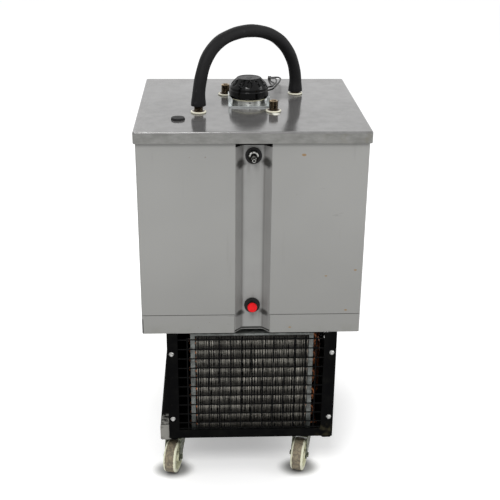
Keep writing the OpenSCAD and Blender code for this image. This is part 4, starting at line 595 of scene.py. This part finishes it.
# Dark patches in the corners beside the spout and the drain
for x, z, flat in ((-0.0245, 0.7985, 0.8), (0.031, 0.8015, 0.8),
                   (-0.0255, 0.4405, 1.35), (0.0285, 0.4415, 1.25)):
    away = pattern.gap((x, 0, z), (1, 0, flat))
    mark = (0.009 + pattern.cloud(90) * 0.009 - away).step(0, 0.009)
    grey = (mark * 0.96).mix(grey, (0.006, 0.005, 0.003))
lay(channel_paint, pattern.cloud(1100, detail=2), 0.0001, Base_Color=grey, Roughness=drips * 0.15 + 0.44)
dress(channel_paint, "recess_channel")

# The tank is folded and welded from thin stainless sheet, with foam poured between it and the skins.
# The tube wound round its wall, and the coils and the shaft that hang from the lid, are drawn steel.
tank_steel, pattern = new_finish("tank steel", 0.3, 1.0)
scale = pattern.cloud(18, detail=5).step(0.4, 0.75)
lay(tank_steel, pattern.cloud(900, (0.05, 1, 1), 2), 0.00004,
    Base_Color=scale.mix((0.56, 0.56, 0.54), (0.42, 0.41, 0.37)), Roughness=scale * 0.25 + 0.25)
dress(tank_steel, "evaporator_coil", "product_coils", "agitator_shaft")
tank_wall, pattern = new_finish("tank wall", 0.4, 0.35)
scale = pattern.cloud(14, detail=5).step(0.35, 0.75)
lay(tank_wall, pattern.cloud(900, (0.05, 1, 1), 2), 0.00004,
    Base_Color=scale.mix((0.62, 0.62, 0.6), (0.45, 0.44, 0.4)), Roughness=scale * 0.25 + 0.3)
dress(tank_wall, "inner_tank")
foam, pattern = new_finish("poured foam", 0.8)
cells = pattern.node("TexVoronoi", {}, {"Vector": pattern.place(), "Scale": 420.0})
# The foam's front face, which shows under the channel's foot, is painted dark as shade
front_shade_paint = (-0.205 - pattern.along(1)).step(0, 0.004)
yellowed = pattern.cloud(30, detail=4).mix((0.72, 0.6, 0.3), (0.55, 0.42, 0.18))
lay(foam, cells, 0.0006, Base_Color=front_shade_paint.mix(yellowed, (0.012, 0.011, 0.01)))
dress(foam, "insulation", "lid_foam")
dress(moulded("nylon", (0.6, 0.58, 0.5), 0.4), "impeller")

# The overflow spout is chromed brass in a black grommet. The drain stub under it is black rubber with a
# bright red moulded cap pulled over it. The nuts under the lid are plain tarnished brass.
chrome, pattern = new_finish("chromed brass", 0.16, 1.0)
film = pattern.cloud(300, detail=4).step(0.42, 0.75)
across_spout = pattern.gap((0.002, 0, 0.815), (1, 0, 1))
# The nut is dull and painted nearly black, for grime and for shade, and the upper half of the ring round the
# spout's root is a painted highlight
at_root = (pattern.along(1) + 0.2415).step(0, 0.001)
highlight_ring_paint = (across_spout - 0.0068).step(0, 0.0008) * (0.0112 - across_spout).step(0, 0.0012)
highlight_ring_paint = highlight_ring_paint * (pattern.along(2) - 0.813).step(0, 0.004)
grime_and_shade = at_root.mix(pattern.cloud(260, detail=4).step(0.4, 0.7) * 0.5 + 0.3,
                    1 - highlight_ring_paint * pattern.cloud(190, detail=4).step(0.36, 0.6))
polished = film.mix((0.5, 0.5, 0.48), (0.3, 0.29, 0.26))
lay(chrome, pattern.cloud(700), 0.00004, Base_Color=grime_and_shade.mix(polished, (0.008, 0.0077, 0.0068)),
    Roughness=film * 0.3 + grime_and_shade * 0.3 + 0.12)
dress(chrome, "overflow_spout")
brass, pattern = new_finish("tarnished brass", 0.34, 1.0)
tarnish = pattern.cloud(220, detail=5).step(0.32, 0.7)
lay(brass, pattern.cloud(600), 0.00008, Base_Color=tarnish.mix((0.5, 0.4, 0.24), (0.13, 0.1, 0.07)),
    Roughness=tarnish * 0.25 + 0.25)
dress(brass, "lower_nuts")
stub_rubber, pattern = new_finish("stub rubber", 0.36, Specular_IOR_Level=0.03)
dull = pattern.cloud(160, detail=3).step(0.4, 0.8)
lay(stub_rubber, pattern.cloud(900), 0.00005,
    Base_Color=dull.mix((0.003, 0.003, 0.003), (0.007, 0.007, 0.0068)))
dress(stub_rubber, "drain_stub")
red, pattern = new_finish("red cap", 0.4, Specular_IOR_Level=0.2)
faded = pattern.cloud(90).step(0.35, 0.8)
lay(red, pattern.cloud(900), 0.00006, Base_Color=faded.mix((0.78, 0.003, 0.008), (0.6, 0.002, 0.005)))
dress(red, "drain_cap")


# The lid is folded from stainless sheet with a brushed grain, its edge bent down and hemmed.
# The thin top is a little wavy, and wiped so often that the brushing shows in soft clouds.
def rounded_ring(half_x, half_y, corner, arc, run):
    """Points round a rectangle with round corners: arcs r (cos a, sin a) about the four corner centres,
    and even points on the straight runs between them."""
    signs = np.array([(1, 1), (-1, 1), (-1, -1), (1, -1)], float)
    angles = np.radians(np.linspace(0, 90, arc)[None] + 90 * np.arange(4)[:, None])
    arcs = corner * np.stack((np.cos(angles), np.sin(angles)), -1)
    arcs = arcs + signs[:, None] * (np.array((half_x, half_y)) - corner)
    share = np.linspace(0, 1, run + 2)[1:-1][None, :, None]
    runs = arcs[:, -1:] * (1 - share) + np.roll(arcs[:, :1], -1, 0) * share
    return np.concatenate((arcs, runs), 1).reshape(-1, 2)


low, high = (np.array(corner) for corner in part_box("lid"))
half, middle = (high - low) / 2, (high + low) / 2
sheet, fold, lid_corner, centre_gap = 0.0016, 0.003, 0.005, 0.0004
crown, hem, underside = high[2], low[2], high[2] - sheet
bend = np.radians(np.linspace(0, 90, 7))
# Rings (inset, z): from the middle of the top out and over the fold, down, round the hem and back beneath
insets = [(half[1] - centre_gap, crown)]
insets += [(inset, crown) for inset in np.linspace(half[1] - 0.004, 0.012, 58)]
insets += [(0.0075, crown), (0.0045, crown)]
insets += [(fold - fold * np.sin(a), crown - fold + fold * np.cos(a)) for a in bend]
insets += [(0.0, crown - 0.009), (0.0, hem + 0.002), (0.0003, hem + 0.0005), (0.001, hem),
           (0.0018, hem + 0.0005), (0.002, hem + 0.002), (0.002, crown - 0.004),
           (0.003, underside - 0.001), (0.0045, underside), (half[1] - centre_gap, underside)]
rings = []
for inset, z in insets:
    ring = rounded_ring(half[0] - inset, half[1] - inset, max(lid_corner - inset, 0.0002), 6, 44)
    rings.append(np.column_stack((ring + middle[:2], np.full(len(ring), z))))
rings = np.array(rings)
# Waves of the thin sheet: slow sines of x and y, up to 0.3 mm, that die out towards the folds
wave_height, sag, calm_border = 0.00018, 0.0003, 0.05
x, y = rings[..., 0], rings[..., 1]
calm = np.clip((half[0] - np.abs(x)) / calm_border, 0, 1) * np.clip((half[1] - np.abs(y)) / calm_border, 0, 1)
wave = np.sin(x * 31 + 1.2) * np.sin(y * 23 + 0.4) + 0.6 * np.sin(x * 57 - y * 41 + 2.0)
flat_top = (np.abs(rings[..., 2] - crown) < 1e-6) | (np.abs(rings[..., 2] - underside) < 1e-6)
rings[..., 2] += np.where(flat_top, calm * wave * wave_height - calm * sag, 0)
lid = surface("folded_lid", rings, closed_rows=True, sharp=40)
brushed, pattern = new_finish("brushed lid", 0.12, 0.5)
smudge = pattern.cloud(7, detail=5, rough=0.6).step(0.3, 0.75)
wiped = pattern.cloud(16, (0.4, 1, 1), 4).step(0.35, 0.7)
spots = pattern.cloud(120, detail=3).step(0.7, 0.74)
hairs = pattern.cloud(1500, (0.03, 1, 1), 2)
edge_side = (0.871 - pattern.along(2)).step(0, 0.002)
mottled = pattern.cloud(38, detail=6, rough=0.7).step(0.35, 0.68)
tone = (smudge * 0.4 + mottled * 0.6).mix((0.25, 0.247, 0.245), (0.165, 0.162, 0.159))
blotched = pattern.cloud(26, (1, 1, 2), 6, 0.7).step(0.3, 0.7)
stained = (pattern.along(0) - 0.1).step(0, 0.14) * pattern.cloud(55, detail=5).step(0.45, 0.7)
tone = edge_side.mix(tone, blotched.mix((0.22, 0.22, 0.21), (0.15, 0.15, 0.142)))
tone = (edge_side * stained * 0.4).mix(tone, (0.13, 0.115, 0.075))
tone = (spots * 0.3).mix(tone, (0.2, 0.19, 0.17))
# The sheet is greasy and dull beside the motor, where hands have laid the wires
greasy = (0.062 - pattern.gap((0.078, 0.10333, 0), (1, 0.6, 0))).step(0, 0.03)
lay(brushed, hairs, 0.00001, Base_Color=tone,
    Roughness=smudge * 0.05 + wiped * 0.03 + greasy * 0.3 + edge_side * 0.2 + 0.1)
lid.data.materials.append(brushed)
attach(lid, "lid_unit")
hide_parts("lid")

# The motor stands on a zinc plate whose two sides are folded up into ears, with a spun pot round its foot
# and a moulded gloss-black cap over it, slotted all round its shoulder for air.
plate_zinc, pattern = new_finish("plate zinc", 0.34, 0.9)
haze = pattern.cloud(60, detail=5).step(0.35, 0.75)
lay(plate_zinc, pattern.cloud(700), 0.00005, Base_Color=haze.mix((0.6, 0.63, 0.63), (0.38, 0.39, 0.39)),
    Roughness=haze * 0.2 + 0.3)
dress(plate_zinc, "motor_bracket")
pot_metal, pattern = new_finish("spun pot", 0.3, 0.9)
haze = pattern.cloud(50, detail=5).step(0.35, 0.75)
rim = (pattern.along(2) - 0.8874).step(0, 0.0004)
# Painted shade: a black dot on the pot's front stands for the dark inside its screw hole
hole_shade_paint = (0.0022 - pattern.gap((0.001, -0.0385, 0.8815))).step(0, 0.0006)
spun_steel = rim.mix(haze.mix((0.5, 0.5, 0.48), (0.26, 0.26, 0.245)), (0.72, 0.68, 0.5))
lay(pot_metal, pattern.cloud(900, (1, 1, 8), 2), 0.00003,
    Base_Color=hole_shade_paint.mix(spun_steel, (0.004, 0.004, 0.004)), Roughness=haze * 0.2 + rim * 0.2 + 0.24)
dress(pot_metal, "motor_pot")


def turned_profile(profile, steps, softness):
    """Points at even steps along a profile of straight runs, at its corners and close to each side of them."""
    lengths = np.linalg.norm(np.diff(profile, axis=0), axis=1)
    marks = np.concatenate(([0], np.cumsum(lengths)))
    extra = np.concatenate([marks[1:-1] - softness, marks[1:-1] + softness])
    places = np.unique(np.round(np.concatenate((np.linspace(0, marks[-1], steps), marks, extra)), 7))
    places = places[(places >= 0) & (places <= marks[-1])]
    return np.stack([np.interp(places, marks, profile[:, c]) for c in (0, 1)], 1)


def spun(radius, height, turn, middle=(0, 0)):
    """Points (r cos t, r sin t, z) round an upright axis, for every radius, height and turn."""
    height = np.broadcast_to(height, np.broadcast_shapes(radius.shape, turn.shape))
    return np.stack((radius * np.cos(turn) + middle[0], radius * np.sin(turn) + middle[1], height), -1)


cap_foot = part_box("motor_cap")[0][2]
cap_line = np.array([(38.3, 0.6), (38.9, 0), (43.2, 0), (44.3, 0.5), (45, 1.8), (45.4, 3.4), (45.5, 5),
                     (45.5, 16.2), (45.2, 17.2), (44.7, 17.9), (44.5, 18.6), (44.8, 19.4), (44.8, 23.4),
                     (44.2, 25), (42.6, 27.2), (40.8, 30.4), (29.6, 43), (28.4, 44.2), (27, 44.9), (25, 45),
                     (23.8, 44.6), (21.8, 44.3), (8, 44.3), (7, 44.8), (0, 44.8)]) / 1000
profile = turned_profile(cap_line, 150, 0.0003)
turn = np.linspace(0, 2 * np.pi, 288, endpoint=False)
r, z = profile[:, :1], profile[:, 1:]
# Twelve oval slots: an ellipse round each slot's middle, sunk square to the shoulder to a flat floor
slot_r, slot_z, half_wide, half_high, slot_depth = 0.036, 0.0355, 0.0055, 0.0062, 0.0036
slot_turn = np.mod(turn + np.pi / 12, np.pi / 6) - np.pi / 12
oval = (slot_turn * slot_r / half_wide) ** 2 + ((z - slot_z) / half_high) ** 2
sunk = np.clip(1.35 - oval, 0, 0.55) / 0.55 * slot_depth
sunk = np.where((z > 0.0285) & (z < 0.0435) & (r > 0.0292), sunk, 0)
cap_points = spun(r - sunk * 0.75, z - sunk * 0.66 + cap_foot, turn)
cap = surface("slotted_cap", cap_points, closed_rows=True, sharp=55)
gloss, pattern = new_finish("gloss black", 0.3, Specular_IOR_Level=0.03, Coat_Roughness=0.08)
rub = pattern.cloud(80, detail=5).step(0.45, 0.8)
on_top = (pattern.along(2) - cap_foot - 0.0435).step(0, 0.001)
lay(gloss, pattern.cloud(420, detail=1), 0.00003,
    Base_Color=rub.mix((0.0015, 0.0015, 0.0017), (0.004, 0.004, 0.0039)),
    Roughness=rub * 0.12 + 0.2, Coat_Weight=on_top.mix(0.36 - rub * 0.2, rub * 0.3 + 0.04))
cap.data.materials.append(gloss)
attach(cap, "lid_unit")
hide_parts("motor_cap")

# A cream gasket ring seals the cap to the pot; its edge shows under the cap.
gasket_line = np.array([(38.2, 0), (41.8, 0), (42.4, 0.5), (42.4, 1.9), (41.8, 2.4), (38.2, 2.4),
                        (38.2, 0)]) / 1000
gasket_drop = 0.0025
turn = np.linspace(0, 2 * np.pi, 96, endpoint=False)
gasket_points = spun(gasket_line[:, :1], gasket_line[:, 1:] + cap_foot - gasket_drop, turn)
gasket = surface("cap_gasket", gasket_points, closed_rows=True)
gasket.data.materials.append(moulded("gasket rubber", (0.66, 0.63, 0.45), 0.5))
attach(gasket, "lid_unit")

# Four half-inch brass nipples pass through the lid. Each is threaded down to a short smooth run-out,
# chamfered and bored through, and dark with tarnish; its top edge is lighter, a painted highlight.
lid_top, run_out = 0.874, 0.8823
nipple_foot, nipple_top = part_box("coil_nipples")[0][2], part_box("coil_nipples")[1][2]
thread_pitch, thread_depth, crest, bore_r = 0.001814, 0.0011, 0.0105, 0.0063
heights = np.arange(nipple_foot, nipple_top - 0.0009, 0.00024)
turn = np.linspace(0, 2 * np.pi, 56, endpoint=False)
# The thread: r = crest less a rounded groove that climbs one pitch in each turn
climb = np.mod(heights[:, None] / thread_pitch - turn[None] / (2 * np.pi), 1)
groove = thread_depth * (0.5 + 0.5 * np.cos(2 * np.pi * climb))
groove = np.where(((heights > lid_top) & (heights < run_out))[:, None], 0.0006, groove)
outside = np.stack(np.broadcast_arrays(crest - groove, heights[:, None]), -1)
edges = ((0.0092, nipple_top - 0.0002), (0.0088, nipple_top), (0.0068, nipple_top),
         (bore_r, nipple_top - 0.0005), (bore_r, nipple_foot + 0.0003), (0.0088, nipple_foot))
rows = [outside] + [np.broadcast_to(edge, (1, len(turn), 2)) for edge in edges] + [outside[:1]]
rows = np.concatenate(rows)
nipple_spots = ((-0.1165, -0.089), (0.1165, 0.089), (-0.053, 0.0805), (0.053, -0.0805))
dark_brass, pattern = new_finish("dark brass", 0.3, 1.0)
tarnish = pattern.cloud(180, detail=5).step(0.35, 0.65)
top_highlight_paint = (pattern.along(2) - 0.8975).step(0, 0.001) * 0.7
lay(dark_brass, pattern.cloud(900), 0.00005,
    Base_Color=top_highlight_paint.mix(tarnish.mix((0.1, 0.075, 0.048), (0.01, 0.008, 0.006)), (0.34, 0.25, 0.15)),
    Roughness=tarnish * 0.2 + 0.15)
for number, (x, y) in enumerate(nipple_spots, 1):
    points = spun(rows[..., 0], rows[..., 1], turn, (x, y))
    nipple = surface(f"threaded_nipple_{number}", points, closed_rows=True, sharp=60)
    nipple.data.materials.append(dark_brass)
    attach(nipple, "lid_unit")
    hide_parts("coil_nipples")

# Each nipple is held by a round cream collar nut, moulded and worn at its edge, with brown dirt round the
# thread. Before the front right one a smear of pale sealant has been left on the lid.
collar_cream, pattern = new_finish("collar cream", 0.42)
old = pattern.cloud(150, detail=5).step(0.45, 0.8)
nearest = None
for x, y in nipple_spots:
    away = pattern.gap((x, y, 0), (1, 1, 0))
    nearest = away if nearest is None else nearest.maths("MINIMUM", nearest, away)
ring_dirt = (0.0128 + pattern.cloud(220) * 0.004 - nearest).step(0, 0.0012)
lay(collar_cream, pattern.cloud(600), 0.0001,
    Base_Color=ring_dirt.mix((old * 0.5).mix((0.78, 0.76, 0.62), (0.5, 0.44, 0.3)), (0.09, 0.05, 0.035)),
    Roughness=old * 0.2 + 0.35)
collar_line = np.array([(10.6, 0), (17, 0), (17.6, 0.5), (17.8, 1.2), (17.8, 2.3), (17.4, 3), (16.6, 3.4),
                        (12.2, 3.4), (11.6, 3.1), (10.6, 3.1), (10.6, 0)]) / 1000
turn = np.linspace(0, 2 * np.pi, 96, endpoint=False)[None]
for number, (x, y) in enumerate(nipple_spots, 1):
    # The rim wanders: r falls short by up to 0.5 mm, in waves a (1 + sin(n t + phase))
    worn_rim = 0.00012 * (2 + np.sin(3 * turn + number) + np.sin(7 * turn + 2.1 * number))
    radius = collar_line[:, :1] - worn_rim * (collar_line[:, :1] > 0.0150)
    points = spun(radius, collar_line[:, 1:] + lid_top, turn, (x, y))
    collar = surface(f"collar_nut_{number}", points, closed_rows=True)
    collar.data.materials.append(collar_cream)
    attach(collar, "lid_unit")
    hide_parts("collar_nuts")
# The smear: half an egg, r = 1 + 0.15 sin 3t + 0.1 sin 5t across, flat underneath
turn = np.linspace(0, 2 * np.pi, 48, endpoint=False)[None]
rise = np.radians(np.linspace(0, 90, 9))[:, None]
wander = 1 + 0.15 * np.sin(3 * turn + 1) + 0.1 * np.sin(5 * turn)
smear_x, smear_y, smear_z, long, wide, thick = 0.0565, -0.1075, 0.8739, 0.0078, 0.0068, 0.0022
blob = np.stack((smear_x + long * wander * np.cos(rise) * np.cos(turn),
                 smear_y + wide * wander * np.cos(rise) * np.sin(turn),
                 np.broadcast_to(smear_z + thick * np.sin(rise), (9, 48))), -1)
under = np.broadcast_to((smear_x, smear_y, smear_z), (1, 48, 3))
sealant = surface("sealant_smear", np.concatenate((under, blob)), closed_rows=True, sharp=60)
sealant.data.materials.append(moulded("sealant", (0.8, 0.79, 0.7), 0.4))
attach(sealant, "lid_unit")

# A rubber hose arches over the motor from one nipple to another, in a sleeve of black foam pipe lagging.
# The foam is slit along for fitting, butted in two lengths near the top, and swells towards its ends.
dress(moulded("hose rubber", (0.014, 0.014, 0.015), 0.5), "link_hose")
arch_r, arch_turn = math.hypot(0.1165, 0.089), math.atan2(0.089, 0.1165)
arch_leg, left_up, right_up, sleeve_r, sleeve_bore = 0.019, 0.016, 0.0075, 0.0143, 0.0123
# Four arcs about (x, z) middles: each meets the next at one angle with one tangent,
# and the last closes the arch
meets = np.radians((0, 22, 73, 111, 180))
bends = [share * arch_r for share in (1.5, 0.66, 1.34)]
middles = [np.array((bends[0] - arch_r, 0.0))]
for angle, before, after in zip(meets[1:], bends, bends[1:]):
    middles.append(middles[-1] + (before - after) * np.array((-math.cos(angle), math.sin(angle))))
last = (arch_r - middles[2][0] + bends[2] * math.cos(meets[3])) / (1 + math.cos(meets[3]))
middles.append(middles[2] + (bends[2] - last) * np.array((-math.cos(meets[3]), math.sin(meets[3]))))
bends.append(last)
line = [np.column_stack((np.full(4, -arch_r), np.linspace(left_up, arch_leg, 5)[:-1]))]
for k in range(4):
    angles = np.linspace(meets[k], meets[k + 1], 50)[0 if k == 0 else 1:]
    arc = middles[k] + bends[k] * np.column_stack((-np.cos(angles), np.sin(angles)))
    line.append(arc + (0, arch_leg))
foot = line[-1][-1][1]
line.append(np.column_stack((np.full(9, arch_r), np.linspace(foot, right_up, 10)[1:])))
line = np.concatenate(line)
line = np.column_stack((line[:, 0] * math.cos(arch_turn), line[:, 0] * math.sin(arch_turn),
                        line[:, 1] + lid_top))
run = np.concatenate(([0], np.cumsum(np.linalg.norm(np.diff(line, axis=0), axis=1))))
# Radius along the sleeve: swollen at both ends, slightly uneven between, and nicked at the butt joint
from_end = np.minimum(run, run[-1] - run)
swollen = 0.0024 * np.exp(-(from_end / 0.016) ** 2)
uneven = 0.00022 * np.sin(run * 55 + 0.6) + 0.00016 * np.sin(run * 131)
joint_share, slit_turn = 0.535, 2.6
joint = 0.0009 * np.exp(-((run - run[-1] * joint_share) / 0.0011) ** 2)
around = np.linspace(0, 2 * np.pi, 40, endpoint=False)[None]
slit = 0.0005 * np.exp(-((np.mod(around - slit_turn + np.pi, 2 * np.pi) - np.pi) / 0.06) ** 2)
radii = (sleeve_r + swollen + uneven - joint)[:, None] - slit
tangents, normals = frames_along(line, (-math.sin(arch_turn), math.cos(arch_turn), 0.0))
binormals = np.cross(tangents, normals)
circle = np.cos(around)[..., None] * normals[:, None] + np.sin(around)[..., None] * binormals[:, None]
skin = line[:, None] + radii[..., None] * circle
bore = line[:, None] + sleeve_bore * circle
sleeve_points = np.concatenate((bore[6:7], bore[:1], skin, bore[-1:], bore[-7:-6]))
sleeve = surface("foam_sleeve", sleeve_points, closed_rows=True, sharp=60)
sleeve_foam, pattern = new_finish("sleeve foam", 0.7, Specular_IOR_Level=0.18)
pores = pattern.cloud(700, detail=3)
scrape = pattern.cloud(60, detail=5).step(0.6, 0.76)
lay(sleeve_foam, pores + pattern.cloud(110) * 0.6, 0.0004,
    Base_Color=scrape.mix((0.0042, 0.0042, 0.0046), (0.018, 0.018, 0.0195)), Roughness=scrape * 0.1 + 0.6)
sleeve.data.materials.append(sleeve_foam)
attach(sleeve, "lid_unit")
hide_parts("hose_lagging")
